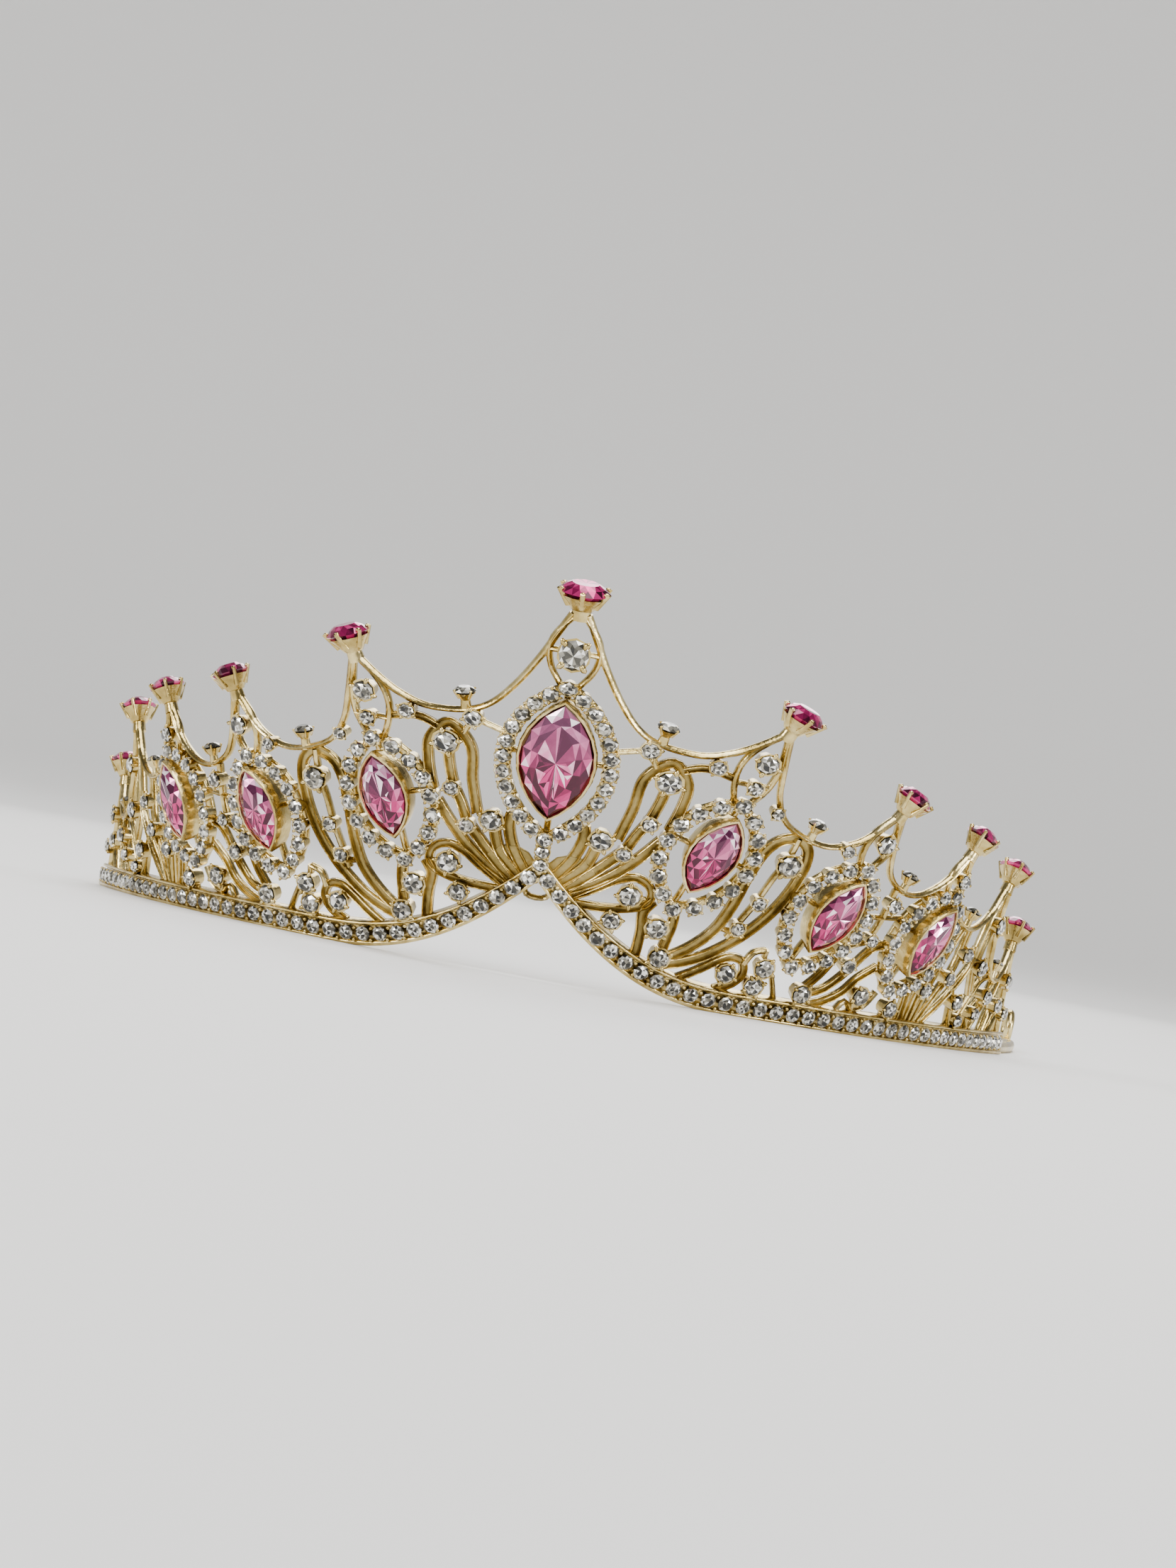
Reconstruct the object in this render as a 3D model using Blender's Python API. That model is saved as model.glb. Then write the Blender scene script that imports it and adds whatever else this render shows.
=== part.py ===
"""Tiara: a cast openwork band with navette and round stones, drawn flat and bent to the head.

The casting is drawn on a flat sheet, s along the band from its middle and h up from the lower
edge, both in millimetres, with z out of the sheet towards the front. Each half is the mirror of
the other. The sheet is then bent round the head and leaned outwards.
"""
import math

import bmesh
import bpy
import numpy as np
from mathutils import Vector
from mathutils.geometry import delaunay_2d_cdt

MM = 0.001

# The band round the head
FRONT_RADIUS = 61.0
OPENING_OUT = 2.2e-7
BAND_END = 84.5
TAIL_RADIUS = 95.0
TAIL_END = 117.0
LEAN_FRONT = math.radians(23.0)
LEAN_FALL = 5.2e-5

# The row of stones along the lower edge, with its peak in the middle
ROW_HEIGHT = 1.6
ROW_STONES = 37
ROW_PITCH = 2.35
ROW_STEP = 2
ROW_STONE_RADIUS = 1.03
PEAK_RISE = 13.2
PEAK_HALF_WIDTH = 27.0
PEAK_POWER = 2.5
BAND_ABOVE_ROW = 1.15

# Depths out of the sheet
PLATE_BACK = -1.3
CUP_FRONT = 0.9
BEZEL_FRONT = 2.0
BEZEL_WALL = 0.55
CROWN_RISE = 0.5
TABLE_SHARE = 0.55
GAP = 0.3
STRIP_FRONT = 0.85
STRIP_MARGIN = 0.14
BEZEL_STEPS = 5
CUP_WALL = 0.2
TAIL_WIDTH = 1.5
EYE_RADIUS = 2.2
ROOT_LIFT = 0.6

# Standing stones on the spikes and on the swags
TIP_RADIUS = 2.5
BUD_RADIUS = 1.25
STONE_SIDES = 8
SMALLEST_EDGE = 0.16
LINE_TOLERANCE = 0.23


def row_peak(s):
    """Height that the middle peak adds to the lower edge at s."""
    share = max(0.0, 1.0 - abs(s) / PEAK_HALF_WIDTH)
    return PEAK_RISE * share ** PEAK_POWER


def heading(s):
    """Turn of the plan curve at s, which opens out a little along the band."""
    along = min(s, BAND_END)
    turn = along / FRONT_RADIUS - OPENING_OUT * along ** 3
    return turn + (s - along) / TAIL_RADIUS


def plan_table(step):
    """Plan curve worked out by short steps: x and y at each multiple of step."""
    rows = [(0.0, 0.0)]
    while (len(rows) - 1) * step < TAIL_END + step:
        middle = heading((len(rows) - 0.5) * step)
        x, y = rows[-1]
        rows.append((x + step * math.cos(middle), y + step * math.sin(middle)))
    return rows


PLAN_STEP = 0.5
PLAN = plan_table(PLAN_STEP)


def bend(point):
    """World place, in metres, of a point (s, h, z) of the flat sheet."""
    s, h, z = point
    side = math.copysign(1.0, s)
    place = abs(s) / PLAN_STEP
    index = min(int(place), len(PLAN) - 2)
    share = place - index
    x = PLAN[index][0] * (1 - share) + PLAN[index + 1][0] * share
    y = PLAN[index][1] * (1 - share) + PLAN[index + 1][1] * share
    turn = heading(abs(s))
    lean = max(0.0, LEAN_FRONT - LEAN_FALL * min(abs(s), BAND_END) ** 2)
    out = h * math.sin(lean) + z * math.cos(lean)
    up = h * math.cos(lean) - z * math.sin(lean)
    if h < 0.001:
        up = 0.0
    x += out * math.sin(turn)
    y -= out * math.cos(turn)
    return Vector((side * x, y, up)) * MM


def thinned(line):
    """The line with only the points that its shape needs."""
    start = Vector(line[0])
    way = (Vector(line[-1]) - start).normalized()
    offsets = [abs(way.cross(Vector(p) - start)) for p in line]
    worst = max(range(len(line)), key=offsets.__getitem__)
    if offsets[worst] < LINE_TOLERANCE:
        return [line[0], line[-1]]
    return thinned(line[:worst + 1])[:-1] + thinned(line[worst:])


def smooth_line(knots):
    """Points on a smooth curve through the knots, no more than the shape needs."""
    ends = [knots[0]] + list(knots) + [knots[-1]]
    line = [knots[0]]
    for a, b, c, d in zip(ends, ends[1:], ends[2:], ends[3:]):
        for t in (0.25, 0.5, 0.75, 1.0):
            line.append(tuple(
                0.5 * (2 * b[i] + (c[i] - a[i]) * t + (2 * a[i] - 5 * b[i] + 4 * c[i] - d[i]) * t * t
                       + (3 * b[i] - a[i] - 3 * c[i] + d[i]) * t ** 3) for i in (0, 1)))
    return thinned(line)


def sides_of(line, half_width, closed=False):
    """Left and right outlines of a wire that follows the line."""
    left = []
    right = []
    count = len(line)
    for index, (s, h) in enumerate(line):
        before = line[index - 1] if index or closed else line[0]
        after = line[(index + 1) % count] if index < count - 1 or closed else line[-1]
        along = Vector((after[0] - before[0], after[1] - before[1])).normalized()
        across = Vector((-along.y, along.x)) * half_width
        left.append((s + across.x, h + across.y))
        right.append((s - across.x, h - across.y))
    return left, right


def round_outline(s, h, radius, sides=STONE_SIDES, turn=0.5):
    angles = [2 * math.pi * (number + turn) / sides for number in range(sides)]
    return [(s + radius * math.cos(a), h + radius * math.sin(a)) for a in angles]


def on_axis(group, across, along):
    """Sheet point at a place measured across and along a leaning axis."""
    tilt = math.radians(group["tilt"])
    return (group["s"] + across * math.cos(tilt) + along * math.sin(tilt),
            group["h"] - across * math.sin(tilt) + along * math.cos(tilt))


def navette(group, half_length, half_width, shift, steps):
    """Pointed oval of two arcs on the group's axis, with steps edges to each arc."""
    radius = (half_length ** 2 + half_width ** 2) / (2 * half_width)
    reach = math.asin(half_length / radius)
    points = []
    for side in (1, -1):
        for number in range(steps):
            angle = side * reach * (2 * number / steps - 1)
            across = side * (radius * math.cos(angle) - radius + half_width)
            points.append(on_axis(group, across, shift + radius * math.sin(angle)))
    return points


# Navette stones with the ring of small stones round each, named by their place from the middle.
# The lengths are half lengths along the leaning axis, the widths are half widths across it.
GROUPS = [
    dict(name="0", s=0.0, h=29.3, tilt=0, length=7.9, width=4.1, ring_length=9.75,
         ring_width=5.45, ring_shift=-0.85, ring_stones=12, ring_steps=8, ring_radius=0.85),
    dict(name="1", s=17.8, h=20.9, tilt=16.5, length=5.6, width=3.0, ring_length=7.65,
         ring_width=5.0, ring_shift=-0.8, ring_stones=8, ring_steps=5, ring_radius=0.92),
    dict(name="2", s=34.7, h=15.7, tilt=20.5, length=5.6, width=3.0, ring_length=7.5,
         ring_width=5.0, ring_shift=-0.8, ring_stones=8, ring_steps=5, ring_radius=0.92),
    dict(name="3", s=50.9, h=14.3, tilt=23.0, length=5.5, width=2.9, ring_length=7.3,
         ring_width=4.9, ring_shift=-0.8, ring_stones=8, ring_steps=5, ring_radius=0.92),
]

# Upright spikes: foot of the cup and lean of its axis in the sheet, in degrees
SPIKES = [
    dict(name="0", s=0.0, h=47.0, tilt=0),
    dict(name="1", s=22.3, h=36.8, tilt=20),
    dict(name="2", s=39.4, h=29.0, tilt=22),
    dict(name="3", s=54.7, h=25.6, tilt=23),
    dict(name="4", s=69.5, h=22.2, tilt=22),
    dict(name="5", s=81.6, h=14.6, tilt=18),
]

# Single stones that stand on the swags: foot of the cup and lean of its axis
BUDS = [
    dict(name="0", s=10.0, h=33.4, tilt=8),
    dict(name="1", s=28.9, h=24.6, tilt=10),
    dict(name="2", s=44.5, h=20.0, tilt=12),
    dict(name="3", s=60.3, h=16.7, tilt=12),
    dict(name="4", s=74.6, h=10.4, tilt=12),
]

# Larger crystals that face the front, each in a cup of its own
CRYSTALS = [
    dict(name="arch", s=11.5, h=28.8, radius=1.3),
    dict(name="palmette", s=5.9, h=19.9, radius=1.2),
    dict(name="petal", s=10.3, h=13.5, radius=1.25),
    dict(name="post", s=14.2, h=9.9, radius=1.25),
    dict(name="post_foot", s=15.4, h=6.1, radius=1.2),
    dict(name="leaf", s=27.0, h=20.9, radius=1.35),
]

# Smaller crystals, fused to their cups: place and radius
CHIPS = [
    (8.9, 32.3, 1.05), (10.6, 23.0, 0.95), (8.6, 18.6, 0.95), (8.9, 9.8, 1.2), (16.0, 31.7, 0.95),
    (20.9, 33.2, 1.3), (20.4, 29.9, 0.95), (23.6, 11.6, 0.95), (25.1, 15.3, 0.95),
    (24.0, 5.5, 1.3), (28.6, 7.0, 1.3), (28.0, 4.45, 1.3), (34.8, 4.45, 1.3), (39.9, 9.1, 1.05),
    (43.2, 17.9, 1.05), (38.4, 25.6, 1.3), (43.7, 5.4, 1.3),
    (49.5, 4.3, 1.2), (54.9, 7.4, 1.1), (59.2, 9.4, 1.05), (61.5, 12.9, 1.05), (54.0, 22.4, 1.1),
    (63.2, 6.4, 1.15), (66.9, 11.4, 1.2), (68.3, 17.3, 1.15), (71.9, 7.6, 1.15),
    (69.4, 5.2, 0.95), (77.2, 6.6, 1.1), (79.7, 10.0, 1.05), (81.6, 5.6, 1.0),
]

# Wires of one half: width, then the knots of the curve from end to end
WIRES = [
    ("swag_0", 0.8, [(0.7, 47.2), (1.9, 44.2), (3.3, 40.8), (5.2, 37.2), (7.4, 34.3), (10.0, 32.9),
                     (14.0, 32.5), (17.0, 33.4), (19.6, 35.0), (22.0, 37.0)]),
    ("swag_1", 0.8, [(22.7, 36.9), (23.1, 32.6), (23.7, 28.8), (25.4, 25.9), (28.9, 24.2), (32.0, 23.9),
                     (35.2, 25.1), (37.4, 27.1), (39.1, 29.2)]),
    ("swag_2", 0.8, [(39.9, 29.0), (40.4, 24.8), (41.5, 21.5), (44.5, 19.6), (47.5, 19.6), (50.4, 21.0),
                     (52.6, 23.0), (54.3, 25.8)]),
    ("swag_3", 0.8, [(55.2, 25.6), (55.2, 22.2), (56.3, 18.8), (58.6, 16.7), (61.4, 16.2), (64.4, 17.3),
                     (67.0, 19.4), (69.1, 22.3)]),
    ("swag_4", 0.8, [(70.1, 22.2), (70.1, 17.2), (71.4, 12.6), (73.6, 10.2), (76.4, 9.9), (79.0, 11.6),
                     (81.3, 14.7)]),
    ("rim_end", 0.9, [(82.1, 14.7), (82.9, 10.0), (83.6, 5.6), (84.0, 1.4)]),
    ("spike_0", 0.7, [(0.4, 47.0), (1.9, 44.6), (2.4, 42.6), (2.0, 40.2), (0.7, 37.9)]),
    ("spike_1_inner", 0.8, [(21.8, 36.8), (19.4, 34.4), (18.3, 31.8), (18.4, 29.2), (18.9, 27.2)]),
    ("spike_1_outer", 0.8, [(22.5, 36.6), (22.6, 32.6), (21.9, 29.6), (20.3, 27.2)]),
    ("spike_2_inner", 0.8, [(38.9, 29.0), (36.9, 26.7), (36.2, 24.2), (36.5, 21.8)]),
    ("spike_2_outer", 0.8, [(39.6, 28.8), (40.0, 25.4), (38.8, 22.8), (37.2, 21.3)]),
    ("spike_3_inner", 0.8, [(54.2, 25.6), (52.5, 23.4), (52.3, 21.2), (53.0, 19.2)]),
    ("spike_3_outer", 0.8, [(54.9, 25.4), (55.3, 22.4), (54.0, 19.6)]),
    ("spike_4_inner", 0.8, [(69.0, 22.2), (66.9, 19.2), (66.0, 16.2), (65.4, 12.6)]),
    ("spike_4_cross", 0.8, [(66.3, 17.3), (70.0, 17.4)]),
    ("spike_5_inner", 0.8, [(81.0, 14.4), (79.6, 10.4), (77.2, 6.6), (75.6, 2.4)]),
    ("arch", 0.9, [(7.7, 20.0), (8.6, 24.2), (9.1, 28.4), (11.6, 30.9), (13.6, 28.6), (13.6, 25.6),
                   (12.9, 22.3)]),
    ("harp", 0.9, [(8.7, 18.6), (9.6, 21.0), (10.6, 23.2), (11.3, 26.0), (11.6, 28.8)]),
    ("arch_tie", 0.8, [(8.9, 32.3), (9.9, 30.0)]),
    ("ring_tie", 0.7, [(5.0, 30.8), (8.9, 32.0)]),
    ("arch_bar", 0.7, [(12.8, 30.2), (15.2, 31.0), (18.4, 30.3)]),
    ("rib_1", 1.0, [(1.5, 13.4), (3.3, 16.4), (4.1, 19.2), (3.9, 21.0)]),
    ("rib_2", 1.0, [(2.4, 12.9), (4.9, 16.0), (5.9, 19.9)]),
    ("rib_3", 1.0, [(3.1, 12.4), (6.0, 15.4), (8.7, 18.7)]),
    ("rib_4", 1.0, [(3.9, 12.0), (7.5, 14.8), (10.3, 17.9), (12.4, 20.9)]),
    ("petal_0", 0.8, [(3.4, 11.3), (6.4, 13.1), (8.8, 14.9), (10.9, 15.5), (12.6, 14.4), (12.7, 12.6),
                      (11.0, 11.5), (8.0, 10.9), (4.4, 10.8)]),
    ("post_inner", 0.95, [(13.3, 12.9), (12.4, 11.2), (12.7, 8.4), (12.7, 3.4)]),
    ("post_outer", 0.95, [(15.9, 12.6), (16.1, 10.2), (15.6, 5.8)]),
    ("leaf_inner", 1.0, [(16.6, 5.9), (19.0, 7.8), (21.2, 10.6), (22.4, 14.1), (23.1, 18.1), (24.0, 21.6),
                         (25.4, 23.5), (27.6, 24.3)]),
    ("leaf_outer", 1.0, [(27.6, 24.3), (29.1, 22.9), (29.4, 20.3), (28.6, 16.8), (27.0, 13.4),
                         (24.6, 10.2), (21.4, 7.3), (18.6, 5.7), (16.4, 5.0)]),
    ("leaf_rib", 0.8, [(22.9, 9.9), (23.6, 11.6), (25.1, 15.3), (26.1, 18.6), (27.0, 20.9), (27.5, 24.2)]),
    ("leaf_tie", 0.8, [(21.5, 11.2), (24.7, 10.4)]),
    ("petal_1", 0.8, [(17.8, 3.0), (20.4, 4.7), (22.7, 6.5), (24.3, 7.4), (25.9, 7.1), (26.5, 5.6),
                      (25.6, 4.0), (23.4, 2.8)]),
    ("petal_arc", 0.8, [(26.2, 6.8), (26.9, 8.5), (28.4, 9.1)]),
    ("strut_2", 0.7, [(30.2, 6.2), (32.1, 2.2)]),
    ("rib_5", 0.8, [(35.4, 5.0), (37.0, 7.2), (38.2, 9.8)]),
    ("rib_6", 0.8, [(35.8, 4.3), (38.4, 5.4), (40.7, 8.0), (43.0, 11.3), (45.0, 12.4)]),
    ("rib_7", 0.8, [(36.0, 2.6), (38.8, 3.6), (41.2, 5.2), (42.9, 7.4), (45.3, 9.3)]),
    ("cross_low", 0.7, [(39.6, 11.4), (41.9, 12.3), (45.0, 12.6)]),
    ("cross_high", 0.7, [(39.9, 15.7), (43.0, 15.9), (46.0, 16.2)]),
    ("cross_post", 0.8, [(42.2, 12.9), (42.9, 15.8), (43.3, 19.8)]),
    ("petal_2", 0.7, [(41.2, 2.6), (42.3, 4.2), (43.7, 3.2), (45.6, 3.9), (46.9, 6.0)]),
    ("post_3_inner", 0.9, [(52.6, 6.6), (53.0, 2.4)]),
    ("post_3_outer", 0.9, [(54.8, 7.2), (54.5, 2.4)]),
    ("fan_1", 0.8, [(55.3, 2.4), (56.3, 7.2), (57.7, 12.0), (59.7, 16.4)]),
    ("fan_2", 0.8, [(56.2, 2.4), (58.8, 7.2), (60.8, 11.0), (61.4, 16.0)]),
    ("fan_3", 0.8, [(56.9, 2.3), (60.0, 5.4), (62.8, 8.4), (65.0, 11.4), (65.4, 14.0)]),
    ("fan_tie", 0.8, [(57.2, 10.3), (60.0, 9.6)]),
    ("leaf_3", 0.8, [(65.2, 2.2), (67.6, 6.4), (70.2, 9.6), (73.4, 10.4)]),
    ("leaf_3_stem", 0.8, [(66.4, 11.0), (68.2, 7.2)]),
    ("leaf_3_head", 0.8, [(66.8, 11.4), (67.4, 14.4), (68.3, 17.3)]),
    ("leaf_4", 0.8, [(70.2, 2.2), (72.8, 5.6), (75.8, 10.0)]),
    ("leaf_5", 0.8, [(78.0, 2.2), (80.2, 4.8), (83.2, 7.4)]),
    ("stem_0", 0.7, [(0.0, 42.4), (2.3, 42.4)]),
    ("stem_1", 0.7, [(18.3, 30.0), (22.2, 30.0)]),
    ("stem_2", 0.7, [(28.6, 7.0), (28.5, 9.2)]),
    ("stem_3", 0.7, [(43.7, 5.4), (43.7, 3.0)]),
    ("stem_4", 0.7, [(49.5, 4.3), (49.5, 2.4)]),
    ("stem_5", 0.7, [(64.6, 2.4), (63.2, 6.4), (62.2, 8.2)]),
    ("stem_6", 0.7, [(71.9, 7.6), (69.4, 5.2), (69.9, 2.4)]),
    ("stem_7", 0.7, [(28.0, 4.45), (28.0, 2.4)]),
    ("column", 1.5, [(0.0, 14.4), (0.0, 18.6)]),
    ("eye_0", 0.7, [(-1.5, 13.4), (-1.2, 10.9), (1.2, 10.9), (1.5, 13.4)]),
]

# Solid web where the ribs of the palmette spring from the peak
WEB = [(0.0, 12.6), (4.6, 11.2), (6.1, 13.6), (4.4, 15.0), (2.6, 15.6), (0.8, 15.2)]

# Small tabs on the back of the band: place, height of the lower edge, half width
TABS = [(0.0, 12.9, 1.3), (36.0, 0.5, 1.9), (-36.0, 0.5, 1.9)]
TAB_HEIGHT = 1.9
TAB_DEPTH = 0.9


# Kinds, weakest first: what a place of the sheet becomes when outlines cover each other
WIRE = 0
BAND = 1
BEZEL = 2
SEAT = 3
CHIP = 4


class Drawing:
    """Outlines on the flat sheet, each with the kind of metal that fills it."""

    def __init__(self):
        self.points = []
        self.faces = []
        self.kinds = []

    def add(self, outline, kind):
        """Adds an outline, turned so that it runs anticlockwise."""
        area = sum(a[0] * b[1] - b[0] * a[1] for a, b in zip(outline, outline[1:] + outline[:1]))
        if area < 0:
            outline = outline[::-1]
        start = len(self.points)
        self.points.extend(Vector(p) for p in outline)
        self.faces.append(list(range(start, len(self.points))))
        self.kinds.append(kind)

    def add_wire(self, line, width, kind, closed=False):
        left, right = sides_of(line, width / 2, closed)
        count = len(line) if closed else len(line) - 1
        for a in range(count):
            b = (a + 1) % len(line)
            self.add([left[a], right[a], right[b], left[b]], kind)

    def sheet(self):
        """Mesh of the drawing's union, and its faces by kind and outline."""
        bm, patches = self.union()
        pinched = [v.co.copy() for v in bm.verts if sum(e.is_boundary for e in v.link_edges) > 2]
        if not pinched:
            return bm, patches
        bm.free()
        for spot in pinched:
            self.add(round_outline(spot.x, spot.y, 0.3, sides=4), WIRE)
        return self.sheet()

    def union(self):
        """All the outlines cut into each other, welded, and filled where an outline covers them."""
        verts, edges, _, _, drawn, _ = delaunay_2d_cdt(self.points, [], self.faces, 0, 0.001, True)
        net = bmesh.new()
        made = [net.verts.new((p.x, p.y, 0.0)) for p in verts]
        for (a, b), source in zip(edges, drawn):
            if source:
                net.edges.new((made[a], made[b]))
        bmesh.ops.remove_doubles(net, verts=net.verts[:], dist=SMALLEST_EDGE)
        net.verts.index_update()
        places = [v.co.xy.copy() for v in net.verts]
        lines = [[v.index for v in edge.verts] for edge in net.edges]
        net.free()
        verts, _, faces, _, _, _ = delaunay_2d_cdt(places, lines, [], 0, 0.001, False)
        centres = np.array([sum((verts[i] for i in face), Vector((0, 0))) / len(face) for face in faces])
        owner = np.full(len(faces), -1)
        for number in sorted(range(len(self.kinds)), key=self.kinds.__getitem__):
            outline = [self.points[i] for i in self.faces[number]]
            owner[covered(outline, centres)] = number
        bm = bmesh.new()
        made = [bm.verts.new((p.x, p.y, 0.0)) for p in verts]
        patches = {}
        for face, number in zip(faces, owner):
            if number < 0:
                continue
            new = bm.faces.new([made[index] for index in face])
            new.normal_update()
            if new.normal.z < 0:
                new.normal_flip()
            patches.setdefault((self.kinds[number], number), []).append(new)
        bmesh.ops.delete(bm, geom=[v for v in bm.verts if not v.link_faces], context="VERTS")
        return bm, patches


def covered(outline, spots):
    """Which of the spots lie inside the outline."""
    inside = np.zeros(len(spots), dtype=bool)
    for (x0, y0), (x1, y1) in zip(outline, outline[1:] + outline[:1]):
        if y0 == y1:
            continue
        crossed = (y0 > spots[:, 1]) != (y1 > spots[:, 1])
        inside ^= crossed & (spots[:, 0] < x0 + (spots[:, 1] - y0) * (x1 - x0) / (y1 - y0))
    return inside


def raise_faces(bm, faces, height):
    """Lifts a patch of the front by height, with walls along its edge, and returns the lifted faces."""
    made = bmesh.ops.extrude_face_region(bm, geom=faces)["geom"]
    bmesh.ops.translate(bm, vec=(0, 0, height), verts=[v for v in made if isinstance(v, bmesh.types.BMVert)])
    bmesh.ops.delete(bm, geom=[f for f in faces if f.is_valid], context="FACES")
    return [f for f in made if isinstance(f, bmesh.types.BMFace)]


def merge_patch(bm, faces):
    """One face in place of a flat patch of faces."""
    if len(faces) > 1:
        faces = bmesh.ops.dissolve_faces(bm, faces=faces, use_verts=True)["region"]
    return faces[0]


def cut_crown(bm, face, height):
    """Turns a stone's flat face into a crown: a square table and eight facets round it."""
    rim = [loop.vert for loop in face.loops]
    middle = face.calc_center_bounds()
    bm.faces.remove(face)
    reach = max((v.co - middle).length for v in rim) * TABLE_SHARE
    corners = [math.pi / 4 * (2 * number + 1) for number in range(4)]
    table = [bm.verts.new(middle + Vector((reach * math.cos(a), reach * math.sin(a), height)))
             for a in corners]
    near = [int((math.atan2(v.co.y - middle.y, v.co.x - middle.x) % (2 * math.pi)) / (math.pi / 2)) % 4
            for v in rim]
    for a in range(len(rim)):
        b = (a + 1) % len(rim)
        bm.faces.new([rim[a], rim[b], table[near[a]]])
        if near[a] != near[b]:
            bm.faces.new([rim[b], table[near[b]], table[near[a]]])
    bm.faces.new(table)


def join_flat(bm, faces):
    """Merges flat faces that lie side by side, and leaves the edges of the patch as they are."""
    chosen = set(faces)
    inner = [e for e in {e for f in faces for e in f.edges} if all(f in chosen for f in e.link_faces)]
    loose = [v for v in {v for e in inner for v in e.verts} if all(f in chosen for f in v.link_faces)]
    bmesh.ops.dissolve_limit(bm, angle_limit=math.radians(0.5), verts=loose, edges=inner)


def tab_outline(s, h, half_width):
    return [(s - half_width, h), (s + half_width, h), (s + half_width, h + TAB_HEIGHT),
            (s - half_width, h + TAB_HEIGHT)]


def close_back(bm, depth, tabs=()):
    """Adds the flat back, with its tabs, and the side walls, and so closes the sheet."""
    rim = [edge for edge in bm.edges if edge.is_boundary]
    copy = bmesh.ops.duplicate(bm, geom=bm.faces[:])
    twins = copy["vert_map"]
    back = [f for f in copy["geom"] if isinstance(f, bmesh.types.BMFace)]
    bmesh.ops.reverse_faces(bm, faces=back)
    for vert in {v for f in back for v in f.verts}:
        vert.co.z = depth
    for edge in rim:
        loop = edge.link_loops[0]
        a = loop.vert
        b = loop.link_loop_next.vert
        bm.faces.new([b, a, twins[a], twins[b]])
    centres = np.array([f.calc_center_median()[:2] for f in back])
    for outline in tabs:
        raised = [f for f, inside in zip(back, covered(outline, centres)) if inside]
        back = [f for f in back if f not in raised]
        centres = np.array([f.calc_center_median()[:2] for f in back])
        join_flat(bm, raise_faces(bm, raised, -TAB_DEPTH))
    join_flat(bm, back)


def loft(bm, rings, start=None):
    """Walls through rings of points, closed by a cap at the end, and at the start if it has no face."""
    if start is None:
        below = [bm.verts.new(p) for p in rings[0]]
        bm.faces.new(below[::-1])
        rings = rings[1:]
    else:
        below = start
    for ring in rings:
        above = [bm.verts.new(p) for p in ring]
        for a in range(len(above)):
            b = (a + 1) % len(above)
            bm.faces.new([below[a], below[b], above[b], above[a]])
        below = above
    bm.faces.new(below)


def finish(bm, name, colour, metallic, roughness):
    """Bends the sheet, gives the piece its material and puts it in the scene."""
    bmesh.ops.triangulate(bm, faces=bm.faces[:])
    for vert in bm.verts:
        vert.co = bend(vert.co)
    mesh = bpy.data.meshes.new(name)
    bm.to_mesh(mesh)
    bm.free()
    material = bpy.data.materials.new(name)
    material.use_nodes = True
    shader = material.node_tree.nodes["Principled BSDF"]
    shader.inputs["Base Color"].default_value = (*colour, 1.0)
    shader.inputs["Metallic"].default_value = metallic
    shader.inputs["Roughness"].default_value = roughness
    mesh.materials.append(material)
    bpy.context.scene.collection.objects.link(bpy.data.objects.new(name, mesh))


GOLD = dict(colour=(0.80, 0.62, 0.32), metallic=1.0, roughness=0.25)
PINK = dict(colour=(0.80, 0.20, 0.42), metallic=0.0, roughness=0.05)
CRYSTAL = dict(colour=(0.86, 0.87, 0.84), metallic=0.0, roughness=0.05)


def both_sides(rows):
    """Each row with its node's ending, for the right half and then, mirrored, for the left one."""
    for row in rows:
        if row["s"] == 0:
            yield row, row["name"]
        else:
            yield row, row["name"] + "_right"
            yield dict(row, s=-row["s"], tilt=-row.get("tilt", 0)), row["name"] + "_left"


def row_places():
    """Places along the band of the right half's row stones, a pitch apart along the row."""
    places = [ROW_PITCH * 0.47]
    while len(places) < ROW_STONES:
        s = places[-1]
        slope = row_peak(s + 0.5) - row_peak(s - 0.5)
        places.append(s + ROW_PITCH / math.hypot(1.0, slope))
    return places


def ring_line(group):
    return navette(group, group["ring_length"], group["ring_width"], group["ring_shift"],
                   group["ring_steps"])


def cup_foot(spot):
    return Vector((*on_axis(spot, 0, ROOT_LIFT), PLATE_BACK / 2))


def ring_on_axis(spot, radius, lift, angles):
    """Round ring of points about a standing cup's axis, lift above its foot."""
    foot = cup_foot(spot)
    return [(*on_axis(spot, radius * math.cos(a), ROOT_LIFT + lift), foot.z + radius * math.sin(a))
            for a in angles]


def grow_cup(bm, spot, radius):
    """Grows an open cup from the top edge of its root, with eight sides, or four if it is small."""
    foot = cup_foot(spot)
    face = min(bm.faces, key=lambda f: (f.calc_center_bounds() - foot).length)
    if radius > 2:
        bmesh.ops.bisect_edges(bm, edges=face.edges[:], cuts=1)
        face = min(bm.faces, key=lambda f: (f.calc_center_bounds() - foot).length)
    across = Vector((*on_axis(spot, 1.0, ROOT_LIFT), foot.z)) - foot
    start = [loop.vert for loop in face.loops]
    angles = [math.atan2(v.co.z - foot.z, (v.co - foot).dot(across)) for v in start]
    turn = 2 * math.pi / len(start)
    way = 1 if (angles[1] - angles[0]) % (2 * math.pi) < math.pi else -1
    even = [angles[0] + way * turn * number for number in range(len(start))]
    bm.faces.remove(face)
    profile = [(0.42, 0.08), (0.74, 0.62), (0.60, 0.62), (0.22, 0.22)]
    loft(bm, [ring_on_axis(spot, share * radius, lift * radius, even) for share, lift in profile], start)


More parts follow.
